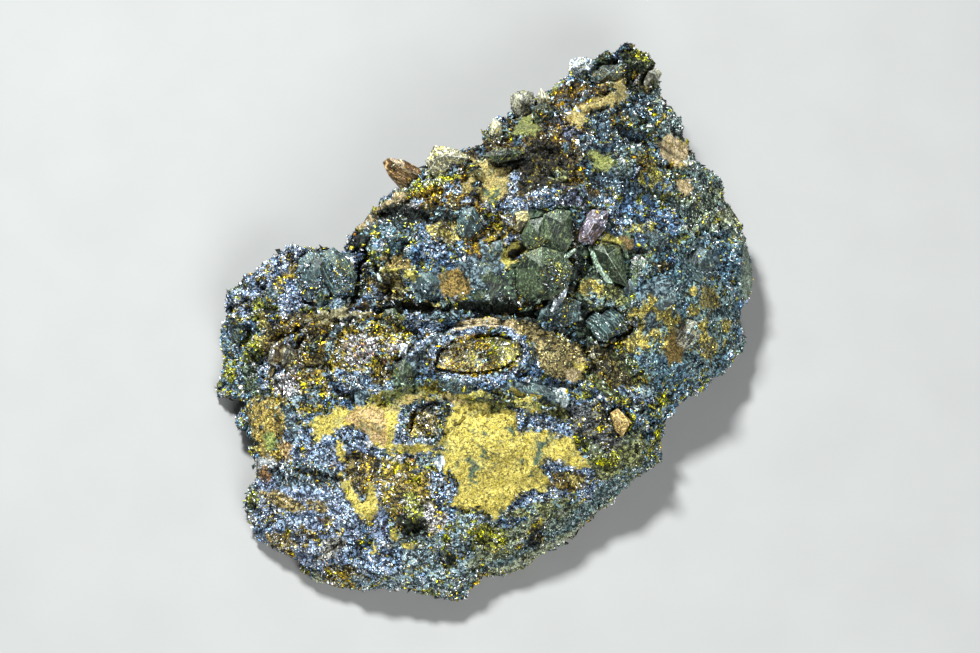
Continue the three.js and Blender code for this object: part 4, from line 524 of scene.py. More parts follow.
# Veins: finish, half width in mm, and the line.
VEINS = [
    ("ochre", 0.5, "342 473, 348 484, 356 496, 366 507"),
    ("ochre", 0.45, "374 482, 376 492, 378 502, 368 510"),
    ("rim_band", 0.35, "433 362, 438 350, 446 341, 460 334"),
    ("rim_band", 0.45, "458 335, 470 331, 480 329, 492 330"),
    ("rim_band", 0.8, "500 330, 510 333, 518 339"),
    ("blue_white_druse", 0.4, "522 342, 526 352, 524 362"),
    ("rim_band", 0.65, "516 370, 502 375, 492 378"),
    ("rim_band", 0.5, "482 379, 466 378, 452 374, 440 370"),
    ("rim_band", 0.5, "398 439, 401 424, 405 409, 424 404, 449 402, 446 412, 441 429, 434 438, 418 439, "
        "398 439"),
    ("blue_white_druse", 0.32, "352 428, 363 430, 372 440, 378 448, 385 452, 397 456, 404 457, 407 452, "
        "413 455, 418 456, 420 452, 427 451, 432 448, 437 446, 444 446"),
    ("lilac_rim", 0.45, "410 355, 420 345, 430 336, 442 328, 452 328"),
    ("blue_white_druse", 0.3, "426 362, 436 352, 444 342, 448 336"),
    ("slate_streak", 0.3, "333 345, 339 331, 345 321, 356 318"),
    ("blue_druse", 0.4, "409 230, 413 246, 414 262, 416 272"),
    ("blue_white_druse", 0.35, "388 222, 376 223, 366 228"),
    ("pale_edge", 0.17, "588 248, 592 260, 597 273, 604 281, 612 285"),
    ("pale_edge", 0.15, "560 260, 568 253, 576 247"),
    ("yellow_streak", 0.2, "518 262, 524 254, 532 250, 542 248"),
    ("pale_edge", 0.15, "522 310, 530 304, 538 300"),
    ("pale_edge", 0.17, "543 322, 549 316, 555 310"),
    ("pale_edge", 0.14, "578 300, 577 310, 579 319"),
    ("pale_edge", 0.2, "588 324, 595 331, 601 338"),
    ("pale_edge", 0.2, "592 319, 600 327, 608 337"),
    ("pale_edge", 0.14, "597 315, 604 322, 612 332"),
    ("pale_edge", 0.14, "570 241, 574 252, 576 265"),
    ("pale_edge", 0.14, "628 263, 634 269, 640 276"),
    ("pale_edge", 0.14, "632 259, 639 265, 646 272"),
    ("pale_edge", 0.14, "637 256, 643 261, 650 267"),
    ("pale_edge", 0.15, "604 300, 611 304, 616 312"),
    ("pale_edge", 0.14, "489 290, 497 297, 505 304"),
    ("pale_edge", 0.14, "484 296, 492 303"),
    ("yellow_streak", 0.45, "326 254, 336 258, 345 264, 351 274"),
    ("yellow_streak", 0.2, "305 262, 312 256, 320 254"),
    ("pale_edge", 0.15, "300 286, 302 274, 308 264"),
    ("pale_edge", 0.15, "336 296, 342 286, 344 274"),
]

# Crystals grown into the mass: tone, corners of the face, ridge, and how deep the root lies under it, mm.
COATED_CRYSTALS = [
    ("striped", "627 270 0, 634 255 0.4, 646 261 0.5, 652 273 0.3, 641 284 0, "
        "631 279 0", "640 268 1.8", 3),
    ("slate", "644 237 0, 655 229 0.4, 668 240 0.4, 658 254 0.1, 646 250 0", "655 241 1.6", 3),
    ("slate", "418 290 0, 419 274 0.4, 430 270 0.6, 439 282 0.5, 436 298 0, "
        "424 301 0", "428 284 1.8", 3),
    ("slate", "455 232 0, 461 213 0.4, 474 208 0.5, 482 220 0.4, 476 236 0, "
        "463 240 0", "468 224 1.8", 3),
    ("olive", "466 284 0, 477 262 0.5, 497 266 0.5, 503 286 0.2, 492 302 0, "
        "474 300 0", "484 280 1.8", 3),
    ("olive", "394 380 0, 396 364 0.5, 406 357 0.6, 414 366 0.5, 415 384 0.2, "
        "404 394 0", "404 374 1.5", 3),
    ("grey", "268 362 0, 272 345 0.3, 288 336 0.5, 300 345 0.5, 300 362 0.2, "
        "282 370 0", "285 352 1.6", 3),
    ("grey", "303 347 0, 308 333 0.5, 316 335 0.5, 320 348 0.2, 311 353 0", "311 341 1.6", 2.6),
    ("slate", "262 300 0, 268 288 0.3, 280 287 0.4, 286 298 0.3, 277 309 0, "
        "266 308 0", "275 297 1.4", 2.8),
    ("slate", "226 330 0, 232 318 0.3, 242 322 0.4, 246 336 0.2, 236 344 0", "236 331 1.3", 2.6),
    ("slate", "552 200 0, 561 189 0.4, 577 187 0.5, 584 198 0.3, 576 212 0, "
        "558 214 0", "568 200 1.7", 3),
    ("slate", "524 196 0, 534 187 0.3, 549 190 0.4, 552 201 0.2, 540 209 0, "
        "527 208 0", "538 198 1.3", 2.8),
    ("slate", "684 262 0, 694 248 0.4, 708 250 0.5, 714 266 0.3, 704 284 0, "
        "690 280 0", "699 265 1.7", 3.2),
    ("grey", "672 330 0, 684 318 0.3, 696 322 0.4, 698 338 0.2, 686 350 0, "
        "674 345 0", "685 334 1.5", 3),
    ("slate", "437 384 0, 445 374 0.4, 462 376 0.5, 476 384 0.3, 466 393 0, "
        "446 391 0", "456 382 1.3", 2.6),
]
BARE_CRYSTALS = [
    ("pale", "549 311 0, 553 299 0.3, 560 290 0.4, 567 287 0.4, 565 297 0.3, 558 306 0.2, "
        "552 313 0", "558 299 0.8", 1),
    ("pale_green", "586 248 0.2, 590 249 0.3, 601 271 0.3, 612 285 0.1, 604 283 0.1, "
        "593 268 0.2", "597 265 0.7", 1),
    ("pale_green", "559 262 0.1, 565 254 0.3, 577 247 0.3, 575 252 0.3, "
        "564 262 0.1", "567 255 0.6", 1),
    ("pale_green", "519 312 0, 529 304 0.2, 541 299 0.3, 539 304 0.3, "
        "528 311 0.1", "530 306 0.7", 1.2),
    ("slate", "536 322 0, 540 310 0.3, 548 304 0.4, 548 316 0.3, 542 326 0", "543 314 0.8", 1.4),
    ("slate", "563 318 0, 572 308 0.3, 580 312 0.3, 576 322 0.2, 568 326 0", "572 316 0.9", 1.4),
    ("slate", "620 292 0, 626 280 0.3, 634 284 0.4, 634 296 0.2, 626 300 0", "628 290 0.9", 1.4),
    ("slate", "650 306 0, 660 294 0.3, 674 292 0.3, 672 304 0.2, 660 312 0", "663 302 0.6", 1.2),
    ("brown", "505 226 0, 514 214 0.3, 527 212 0.3, 530 222 0.3, 518 234 0", "518 222 1", 1.6),
    ("slate", "486 258 0, 492 244 0.3, 502 240 0.3, 503 252 0.2, 494 262 0", "495 251 0.9", 1.4),
    ("olive", "380 318 0, 386 310 0.2, 396 308 0.2, 402 316 0.2, 392 324 0", "390 316 0.7", 1.2),
    ("slate", "519 350 0, 524 342 0.3, 532 342 0.3, 533 354 0.2, 526 364 0", "527 352 0.8", 1.2),
    ("pale", "554 390 0.1, 560 386 0.3, 565 388 0.3, 569 402 0.2, 564 407 0, "
        "557 401 0", "562 396 0.7", 1.2),
    ("slate", "512 384 0, 528 380 0.2, 546 386 0.2, 556 395 0.1, 536 394 0, "
        "520 391 0", "533 387 0.5", 1),
    ("pale", "396 350 0, 402 342 0.2, 410 344 0.2, 408 354 0.1, 400 358 0", "403 350 0.7", 1.2),
    ("pale", "434 460 0, 442 452 0.2, 450 456 0.2, 448 466 0.1, 440 470 0", "443 461 0.7", 1.2),
]

# ---------------------------------------------------------------- numbers
def linear(code):
    """A colour written as 0xRRGGBB, as linear light."""
    parts = np.array([code >> 16 & 255, code >> 8 & 255, code & 255]) / 255
    return np.where(parts <= 0.04045, parts / 12.92, ((parts + 0.055) / 1.055) ** 2.4)


def lattice(cell, seed):
    """A steady random number from -1 to 1 for each cell of a lattice."""
    mixed = cell[:, 0] * 73856093 ^ cell[:, 1] * 19349663 ^ cell[:, 2] * 83492791 ^ (seed * 2654435761)
    mixed = (mixed ^ (mixed >> 15)) * 2246822519 & 0xFFFFFFFF
    mixed = (mixed ^ (mixed >> 13)) * 3266489917 & 0xFFFFFFFF
    return (mixed >> 8 & 0xFFFF) / 32767.5 - 1


def cloud(points, wavelength, seed):
    """Smooth noise from -1 to 1 at points in mm."""
    grid = points / wavelength + 31.7
    cell = np.floor(grid).astype(np.int64)
    inside = grid - cell
    inside = inside * inside * (3 - 2 * inside)
    total = np.zeros(len(points))
    for corner in range(8):
        step = np.array([corner & 1, corner >> 1 & 1, corner >> 2 & 1])
        weight = np.where(step, inside, 1 - inside).prod(axis=1)
        total += weight * lattice(cell + step, seed)
    return total


def shared(text):
    """Colours written as RRGGBB, each followed by its share."""
    parts = text.split()
    return [(int(code, 16), float(share)) for code, share in zip(parts[::2], parts[1::2])]


def rank(values):
    """Each value's place among all of them, from 0 to 1."""
    order = np.empty(len(values))
    order[np.argsort(values, kind="stable")] = np.arange(len(values))
    return order / max(len(values) - 1, 1)


def in_outline(across, up, outline):
    """Which points lie inside an outline on the display face."""
    inside = np.zeros(len(across), bool)
    last = outline[-1]
    for corner in outline:
        crosses = (corner[1] > up) != (last[1] > up)
        rise = last[1] - corner[1]
        at = corner[0] + (up - corner[1]) * (last[0] - corner[0]) / (rise if rise else 1e-9)
        inside ^= crosses & (across < at)
        last = corner
    return inside


def near_line(across, up, line, width):
    """1 on a line of the display face, falling to 0 at a width from it, in mm."""
    closest = np.full(len(across), 9.0)
    for (a0, u0), (a1, u1) in zip(line, line[1:]):
        near = np.flatnonzero((across > min(a0, a1) - width) & (across < max(a0, a1) + width)
                              & (up > min(u0, u1) - width) & (up < max(u0, u1) + width))
        along = np.array([a1 - a0, u1 - u0])
        step = np.column_stack([across[near] - a0, up[near] - u0])
        part = np.clip(step @ along / max(along @ along, 1e-9), 0, 1)
        closest[near] = np.minimum(closest[near], np.linalg.norm(step - part[:, None] * along, axis=1))
    return np.clip(1 - closest / width, 0, 1)


# ---------------------------------------------------------------- which finish lies where
NAMES = list(PALETTES)
TEXTURE_OF = np.array([TEXTURES.index(PALETTES[name][0]) for name in NAMES])
EDGE_WANDER = 0.45  # how far the outlines' edges stray, mm
# Finishes of the back and the sides: name, level of the noise over which it shows, patch size in mm, seed
BACK_PATCHES = [
    ("lilac_druse", 0.28, 11, 12), ("gold_grey_druse", 0.26, 9, 13), ("golden_crust", 0.44, 7, 14),
    ("slate_druse", 0.3, 10, 15), ("slate_dusted", 0.42, 8, 16), ("brown_druse", 0.42, 6, 17),
]
# Finishes with patches of another: finish, the other, level of noise over which it shows, patch size in mm
MIXED = [
    ("golden_crust", "slate_dusted", 0.24, 1.6), ("yellow_speckle", "blue_druse", 0.18, 1.4),
    ("golden_druse", "gold_grey_druse", 0.1, 2.2), ("golden_druse", "night_speckle", 0.3, 1.5),
    ("gold_brown_druse", "blue_white_druse", 0.34, 1.8), ("gold_brown_druse", "brown_dark_druse", 0.34, 1.7),
    ("lilac_druse", "golden_druse", 0.26, 2.2), ("lilac_druse", "blue_white_druse", 0.2, 2.0),
    ("shelf_druse", "golden_druse", 0.34, 2.2),
    ("shelf_druse", "shelf_white", 0.16, 2.6),
    ("blue_white_druse", "night_speckle", 0.34, 1.6), ("blue_druse", "olive_yellow_druse", 0.24, 1.8),
    ("gold_grey_druse", "blue_white_druse", 0.24, 2.4), ("gold_grey_druse", "olive_yellow_druse", 0.28, 1.7),
    ("slate_fine", "slate_dusted", 0.12, 2.4), ("slate_dusted", "golden_crust", 0.24, 1.7),
    ("pale_blue_druse", "olive_yellow_druse", 0.2, 1.9), ("amber_night", "night_druse", 0.22, 2.2),
    ("amber_druse", "blue_white_druse", 0.26, 1.7), ("grey_druse", "olive_yellow_druse", 0.24, 1.8),
    ("olive_brown_druse", "gold_grey_druse", 0.3, 1.9), ("slate_fine", "blue_druse", 0.3, 1.4),
    ("olive_dusted", "slate_dusted", 0.24, 1.8), ("grey_green", "ochre", 0.3, 1.0),
    ("ochre_edge", "pale_blue_druse", 0.34, 1.5), ("beige", "olive_dusted", 0.4, 1.3),
    ("olive_brown_druse", "golden_druse", 0.3, 1.7), ("cream_druse", "grey_light_druse", 0.2, 2.0),
    ("ochre", "grey_green", 0.56, 1.2),
]


def on_face(points, wander=EDGE_WANDER):
    """Where points in mm lie on the display face, with a little stray so that no edge runs straight."""
    away = points - MIDDLE
    shift = []
    for seed in (1, 5):
        wide, middling = cloud(points, 1.9, seed) * 0.7, cloud(points, 0.8, seed + 1) * 0.8
        shift.append(wide + middling + cloud(points, 0.3, seed + 2))
    return away @ ACROSS + wander * shift[0], away @ UP + wander * shift[1]


def finish_of(points, normals):
    """The finish at each point, as a place in NAMES. Points are in mm and part coordinates."""
    across, up = on_face(points)
    found = np.full(len(points), NAMES.index("blue_druse"))
    for name, text in ZONES:
        outline = laid_out(text)
        corners = np.array(outline)
        near = np.flatnonzero((across > corners[:, 0].min()) & (across < corners[:, 0].max())
                              & (up > corners[:, 1].min()) & (up < corners[:, 1].max()))
        if len(near):
            hit = in_outline(across[near], up[near], outline)
            found[near[hit]] = NAMES.index(name)
    zone = found.copy()
    for seed, (name, other, level, size) in enumerate(MIXED, 60):
        here = np.flatnonzero(zone == NAMES.index(name))
        noise = 0.65 * cloud(points[here], size, seed) + 0.35 * cloud(points[here], size / 3, seed + 40)
        found[here[noise > level]] = NAMES.index(other)
    across, up = on_face(points, 0.25)
    for name, width, line in VEINS:
        found[near_line(across, up, laid_out(line), width) > 0.05] = NAMES.index(name)
    hidden = normals @ OUT < -0.02 + 0.1 * cloud(points, 2.0, 9)
    back = np.full(len(points), NAMES.index("back_druse"))
    for name, level, wavelength, seed in BACK_PATCHES:
        back[cloud(points, wavelength, seed) > level] = NAMES.index(name)
    found[hidden] = back[hidden]
    return found


def crack_at(points, normals):
    """How deep in a crack each point lies, from 0 to 1."""
    across, up = on_face(points, 0.25)
    deep = np.zeros(len(points))
    for width, strength, line in CRACKS:
        deep = np.maximum(deep, strength * np.minimum(1, 1.6 * near_line(across, up, laid_out(line), width)))
    return deep * (normals @ OUT > 0)


def tones_of(found, points, crest_light_hollow_shade, rng):
    """A colour for each point from the tones of its finish: dark ones in hollows as painted shade, light ones
    on crests as painted light.
    """
    colours = np.zeros((len(points), 3))
    chance = rng.random(len(points)) + 0.12 * cloud(points, 1.1, 21)
    # Crests pick light tones and hollows dark ones: painted light and painted shade.
    chance = chance + 0.08 * cloud(points, 2.8, 23) + 0.32 * crest_light_hollow_shade
    fleck_chance = 0.7 * rng.random(len(points)) + 0.5 * cloud(points, 1.3, 22)
    for index in np.unique(found):
        texture, tones, flecks = PALETTES[NAMES[index]]
        here = np.flatnonzero(found == index)
        tones, flecks = shared(tones), shared(flecks)
        shares = np.array([share for _, share in tones])
        steps = np.cumsum(shares / shares.sum())
        pick = np.searchsorted(steps, rank(chance[here]) * 0.9999)
        chosen = np.array([linear(code) for code, _ in tones])[np.minimum(pick, len(tones) - 1)]
        score = rank(fleck_chance[here])
        level = 1.0
        for code, share in flecks:
            chosen[(score <= level) & (score > level - share)] = linear(code)
            level -= share
        bright = chosen @ [0.21, 0.72, 0.07]
        if texture != "powder":
            chosen = bright[:, None] + SATURATION * (chosen - bright[:, None])
        colours[here] = chosen * ((bright + 0.004) / MIDDLE_TONE)[:, None] ** CONTRAST[texture]
    return np.clip(colours, 0.001, 0.95)


# ---------------------------------------------------------------- meshes from arrays
def solids(name, points, faces, tints, gloss):
    """A mesh of triangles in mm, with a tint and a gloss for each. None reaches under the flat base."""
    points[:, 2] = np.maximum(points[:, 2], BASE_CLEARANCE)
    mesh = bpy.data.meshes.new(name)
    mesh.vertices.add(len(points))
    mesh.vertices.foreach_set("co", (points * MM).astype(np.float32).ravel())
    mesh.loops.add(faces.size)
    mesh.loops.foreach_set("vertex_index", faces.astype(np.int32).ravel())
    mesh.polygons.add(len(faces))
    mesh.polygons.foreach_set("loop_start", np.arange(0, faces.size, 3, dtype=np.int32))
    mesh.update(calc_edges=True)
    colour_faces(mesh, "tint", tints)
    mesh.attributes.new("gloss", "FLOAT", "FACE").data.foreach_set("value", gloss.astype(np.float32))
    piece = bpy.data.objects.new(name, mesh)
    bpy.context.scene.collection.objects.link(piece)
    return piece


def colour_faces(mesh, name, tints):
    layer = mesh.attributes.new(name, "FLOAT_COLOR", "FACE")
    values = np.column_stack([tints, np.ones(len(tints))])
    layer.data.foreach_set("color", values.astype(np.float32).ravel())


def frames(axes, centres, rng):
    """Two unit vectors square to each axis and to each other, turned much alike in neighbours."""
    guess = np.column_stack([cloud(centres, 3.0, seed) for seed in (31, 32, 33)])
    guess = guess + 0.2 * rng.normal(size=axes.shape)
    first = np.cross(axes, guess)
    first /= np.linalg.norm(first, axis=1, keepdims=True)
    return first, np.cross(axes, first)


def unit(vectors):
    return vectors / np.linalg.norm(vectors, axis=1, keepdims=True)


SHARD_FACES = np.array([(0, 1, 3), (1, 2, 3), (2, 0, 3), (2, 1, 0)])
BIPYRAMID_FACES = np.array([
    (0, 2, 4), (2, 1, 4), (1, 3, 4), (3, 0, 4),
    (2, 0, 5), (1, 2, 5), (3, 1, 5), (0, 3, 5),
])


def lean(centres, normals, tilt, rng):
    """The way that crystals point: off the surface, and much alike in neighbours."""
    bundle = np.column_stack([cloud(centres, 2.4, seed) for seed in (41, 42, 43)])
    return unit(normals + 1.3 * tilt * bundle + 0.6 * tilt * rng.normal(size=normals.shape))


def shards(centres, normals, size, tall, tilt, rng):
    """Three-sided blades with a closed foot, standing on a surface."""
    axes = lean(centres, normals, tilt, rng)
    first, second = frames(axes, centres, rng)
    wide = (size * rng.uniform(0.9, 2.0, len(centres)))[:, None]
    deep = (size * rng.uniform(0.3, 0.7, len(centres)))[:, None]
    foot = centres - axes * (0.45 * size)[:, None]
    tip = centres + axes * (tall * size * rng.uniform(0.4, 1.3, len(centres)))[:, None]
    tip += wide * rng.uniform(-0.8, 0.8, (len(centres), 1)) * first
    ring = [foot - first * wide, foot + first * wide - 0.6 * second * deep, foot + second * deep, tip]
    points = np.stack(ring, axis=1).reshape(-1, 3)
    faces = (SHARD_FACES[None] + 4 * np.arange(len(centres))[:, None, None]).reshape(-1, 3)
    return points, faces


def bipyramids(centres, normals, size, tilt, rng):
    """Eight-faced crystals, half sunk in a surface."""
    axes = lean(centres, normals, tilt, rng)
    first, second = frames(axes, centres, rng)
    long = (size * rng.uniform(0.9, 1.4, len(centres)))[:, None]
    wide = (size * rng.uniform(0.7, 1.1, len(centres)))[:, None]
    deep = (size * rng.uniform(0.4, 0.8, len(centres)))[:, None]
    ring = [centres + first * wide, centres - first * wide, centres + second * deep, centres - second * deep,
            centres + axes * long, centres - axes * long]
    points = np.stack(ring, axis=1).reshape(-1, 3)
    faces = (BIPYRAMID_FACES[None] + 6 * np.arange(len(centres))[:, None, None]).reshape(-1, 3)
    return points, faces


def scatter(corners, spacing, rng):
    """Places spread over triangles, about a spacing apart, with the triangle that each lies on."""
    sides = np.cross(corners[:, 1] - corners[:, 0], corners[:, 2] - corners[:, 0])
    area = np.linalg.norm(sides, axis=1) / 2
    tries = int(7 * area.sum() / spacing**2)
    face = rng.choice(len(corners), tries, p=area / area.sum())
    a, b = rng.random((2, tries))
    over = a + b > 1
    a[over], b[over] = 1 - a[over], 1 - b[over]
    start = corners[face, 0]
    places = start + a[:, None] * (corners[face, 1] - start) + b[:, None] * (corners[face, 2] - start)
    cells = np.floor(places / spacing + 0.5 * rng.random(3)).astype(np.int64)
    key = (cells[:, 0] * 4096 + cells[:, 1]) * 4096 + cells[:, 2]
    kept = np.unique(key, return_index=True)[1]
    return places[kept], face[kept]


# ---------------------------------------------------------------- camera, floor and lights
CAMERA_DISTANCE = 0.8165  # m
CAMERA_LENS = 180.0  # mm
# name, place and size in metres, watts
LAMPS = [
    ("key_light", (-0.14, 0.2, 0.5), 0.09, 5.5),
    ("front_light", (0.15, -0.45, 0.45), 0.34, 3.7),
]
LAMP_COLOUR = (0.94, 1.0, 0.99)
WORLD_LIGHT = 0.09


def aim(thing, at, towards):
    thing.location = at
    thing.rotation_euler = (Vector(towards) - Vector(at)).to_track_quat("-Z", "Y").to_euler()


def studio():
    scene = bpy.context.scene
    middle = MIDDLE * MM
    eye = bpy.data.objects.new("camera", bpy.data.cameras.new("camera"))
    eye.data.lens = CAMERA_LENS
    eye.data.sensor_width = 36.0
    eye.data.clip_start = 0.05
    scene.collection.objects.link(eye)
    aim(eye, middle + OUT * CAMERA_DISTANCE, middle)
    scene.camera = eye
    for name, place, size, power in LAMPS:
        lamp = bpy.data.objects.new(name, bpy.data.lights.new(name, "AREA"))
        lamp.data.shape = "DISK"
        lamp.data.size = size
        lamp.data.energy = power
        lamp.data.color = LAMP_COLOUR
        scene.collection.objects.link(lamp)
        aim(lamp, place, (0, 0, 0.012))
    world = bpy.data.worlds.new("studio")
    world.use_nodes = True
    world.node_tree.nodes["Background"].inputs["Color"].default_value = (0.9, 0.95, 1.0, 1)
    world.node_tree.nodes["Background"].inputs["Strength"].default_value = WORLD_LIGHT
    scene.world = world
    scene.view_settings.view_transform = "Standard"


def floor():
    bpy.ops.object.select_all(action="DESELECT")
    bpy.ops.mesh.primitive_plane_add(size=3.0, location=(0, 0, 0))
    sheet = bpy.context.object
    sheet.name = "floor"
    pale = Shader("pale_floor")
    grain = pale.node("ShaderNodeTexNoise", {}, {"Vector": pale.place(), "Scale": 60.0})
    pale.colour(pale.mix((0.33, 0.32, 0.32), (0.37, 0.36, 0.36), grain))
    pale.fixed(Roughness=0.8)
    sheet.data.materials.append(pale.material)


# ---------------------------------------------------------------- shader nodes
STREAK = 12.0  # how many times longer than wide the streaks of a crystal are
BLADE = 4.0  # and the blades that it is made of
WAVES_TO_A_UNIT = 0.314  # the scale at which a wave texture has one band to the unit


def turn_to(angle):
    """The turn that brings Y to a direction on the display face, in degrees from across."""
    way = math.cos(math.radians(angle)) * ACROSS + math.sin(math.radians(angle)) * UP
    return math.asin(way[2]), 0.0, math.atan2(-way[0], way[1])


class Value:
    """A number that varies over a surface. Arithmetic on it adds Math nodes."""

    def __init__(self, shader, socket):
        self.shader = shader
        self.socket = socket

    def __add__(self, other):
        return self.shader.maths("ADD", self, other)

    def __radd__(self, other):
        return self.shader.maths("ADD", other, self)

    def __sub__(self, other):
        return self.shader.maths("SUBTRACT", self, other)

    def __rsub__(self, other):
        return self.shader.maths("SUBTRACT", other, self)

    def __mul__(self, other):
        return self.shader.maths("MULTIPLY", self, other)

    def __rmul__(self, other):
        return self.shader.maths("MULTIPLY", other, self)


class Shader:
    """A material under construction, with one Principled surface."""

    def __init__(self, name):
        self.material = bpy.data.materials.new(name)
        self.material.use_nodes = True
        self.tree = self.material.node_tree
        self.surface = self.tree.nodes["Principled BSDF"]

    def node(self, kind, settings=None, values=None, output=0):
        """A node of a kind, with its settings, then the values or links of its sockets."""
        made = self.tree.nodes.new(kind)
        for name, setting in (settings or {}).items():
            setattr(made, name, setting)
        for name, value in (values or {}).items():
            socket = made.inputs[name]
            if isinstance(value, Value):
                self.tree.links.new(value.socket, socket)
            elif isinstance(value, (tuple, list)) and socket.type == "RGBA":
                socket.default_value = (*value, 1)
            else:
                socket.default_value = value
        return Value(self, made.outputs[output])

    def maths(self, operation, first, second):
        return self.node("ShaderNodeMath", {"operation": operation}, {0: first, 1: second})

    def mix(self, first, second, factor):
        """Between two colours."""
        return self.node("ShaderNodeMix", {"data_type": "RGBA"}, {0: factor, 6: first, 7: second}, output=2)

    def shade(self, colour, amount):
        """A colour multiplied by a number."""
        grey = self.node("ShaderNodeCombineXYZ", {}, {0: amount, 1: amount, 2: amount})
        return self.node("ShaderNodeVectorMath", {"operation": "MULTIPLY"}, {0: colour, 1: grey})

    def between(self, value, low, high):
        """0 under low, 1 over high, smooth between them."""
        return self.node("ShaderNodeMapRange", {"interpolation_type": "SMOOTHSTEP"},
                         {"Value": value, "From Min": low, "From Max": high})

    def place(self):
        return self.node("ShaderNodeTexCoord", output="Object")

    def drawn(self, turn, times):
        """Places for a pattern that is drawn out some times along Y as turned."""
        return self.node("ShaderNodeMapping", {"vector_type": "TEXTURE"},
                         {"Vector": self.place(), "Rotation": turn, "Scale": (1, times, 1)})

    def strayed(self, wavelength, reach):
        """Places that stray by up to a reach in mm, so that a pattern's lines don't run straight."""
        stray = self.node("ShaderNodeTexNoise", {},
                          {"Vector": self.place(), "Scale": 1 / (wavelength * MM)}, output=1)
        scaled = self.node("ShaderNodeVectorMath", {"operation": "SCALE"},
                           {0: stray, "Scale": 2 * reach * MM})
        return self.node("ShaderNodeVectorMath", {"operation": "ADD"}, {0: self.place(), 1: scaled})

    def noise(self, wavelength, detail=2.0, where=None):
        """Noise from 0 to 1, with a wavelength in mm."""
        return self.node("ShaderNodeTexNoise", {},
                         {"Vector": where or self.place(), "Scale": 1 / (wavelength * MM), "Detail": detail})

    def cells(self, size, where=None):
        """A random number for each cell of a mosaic, with a cell size in mm."""
        colour = self.node("ShaderNodeTexVoronoi", {},
                           {"Vector": where or self.place(), "Scale": 1 / (size * MM)}, output=1)
        return self.node("ShaderNodeSeparateColor", {}, {0: colour})

    def joints(self, size, where=None):
        """How far it is to the joints of that mosaic, in cell sizes."""
        return self.node("ShaderNodeTexVoronoi", {"feature": "DISTANCE_TO_EDGE"},
                         {"Vector": where or self.place(), "Scale": 1 / (size * MM)})

    def facets(self):
        """A random number for each flat face, by the way that it points."""
        way = self.node("ShaderNodeNewGeometry", output=3)
        rounded = self.node("ShaderNodeVectorMath", {"operation": "SNAP"}, {0: way, 1: (0.23, 0.23, 0.23)})
        return self.node("ShaderNodeTexWhiteNoise", {}, {"Vector": rounded})

    def ribs(self, width, turn):
        """Bands of a width in mm that run along Y as turned."""
        where = self.node("ShaderNodeMapping", {"vector_type": "TEXTURE"},
                          {"Vector": self.place(), "Rotation": turn})
        return self.node("ShaderNodeTexWave", {},
                         {"Vector": where, "Scale": WAVES_TO_A_UNIT / (width * MM), "Distortion": 1.5,
                          "Detail": 2.0, "Detail Scale": 3.0}, output=1)

    def attribute(self, name, output=0):
        return self.node("ShaderNodeAttribute", {"attribute_name": name}, output=output)

    def colour(self, value):
        self.tree.links.new(value.socket, self.surface.inputs["Base Color"])

    def varying(self, **sockets):
        for name, value in sockets.items():
            self.tree.links.new(value.socket, self.surface.inputs[name.replace("_", " ")])

    def fixed(self, **sockets):
        for name, value in sockets.items():
            self.surface.inputs[name.replace("_", " ")].default_value = value

    def bump(self, height, depth, strength=1.0):
        """Relief of a depth in mm."""
        value = self.node("ShaderNodeBump", {},
                          {"Height": height, "Distance": depth * MM, "Strength": strength})
        self.tree.links.new(value.socket, self.surface.inputs["Normal"])


def rock_material():
    """The mass under its grains: mosaic of minute crystals, and powdery ochre beds."""
    rock = Shader("drusy_rock")
    dark = rock.attribute("tint")
    light = rock.attribute("tint_light")
    powder = rock.attribute("powder", output=2)
    mosaic = rock.cells(0.42)
    soft = rock.noise(0.9)
    fine = rock.noise(0.28, 3.0)
    sharp = rock.between(mosaic * 0.7 + soft * 0.5, 0.5, 0.85)
    dust = rock.cells(0.24)
    dusty = rock.between(fine * 0.5 + rock.noise(1.6) * 0.4 + dust * 0.3, 0.42, 0.78)
    blend = sharp + (dusty - sharp) * powder
    colour = rock.mix(dark, light, blend)
    pits = rock.between(rock.noise(0.5, 6.0) + (dust - 0.5) * 0.1, 0.59, 0.62)
    open_joints = 1 - rock.between(rock.joints(1.0, rock.strayed(0.6, 0.5)), 0.02, 0.07)
    chinks = open_joints * rock.between(soft, 0.5, 0.56)
    colour = rock.mix(colour, (0.07, 0.07, 0.025), pits * powder * 0.7)
    stain = rock.between(rock.noise(2.6, 5.0), 0.56, 0.66)
    colour = rock.mix(colour, (0.2, 0.22, 0.12), stain * powder * 0.5 * (0.4 + dust))
    colour = rock.mix(colour, (0.05, 0.05, 0.02), chinks * powder * 0.8)
    rock.colour(rock.shade(colour, 0.55 + 0.9 * rock.cells(0.16)))
    rock.varying(Roughness=0.5 + 0.4 * powder + (mosaic - 0.5) * 0.2)
    rock.bump(fine + 0.6 * mosaic + dust * 0.3 - pits * 0.8 - chinks * powder, 0.16, 0.9)
    rock.fixed(IOR=1.4)
    return rock.material


def grain_material(name, outlined):
    """Faces of the grains: each with its own tint and gloss, and the dark joints of a mosaic if outlined."""
    grain = Shader(name)
    tint = grain.attribute("tint")
    gloss = grain.attribute("gloss", output=2)
    film = grain.noise(0.35, 2.0)
    speck = grain.cells(0.16)
    amount = (0.45 + 0.4 * film) * (0.5 + 2.6 * speck * speck * speck)
    if outlined:
        joints = grain.between(grain.joints(0.48), 0.02, 0.14)
        amount = amount * (0.1 + 1.3 * joints)
    grain.colour(grain.shade(tint, amount))
    grain.varying(Roughness=0.6 - 0.48 * gloss)
    grain.bump(grain.noise(0.3, 2.0) + 0.5 * speck, 0.1, 1.0)
    grain.fixed(IOR=1.5)
    return grain.material


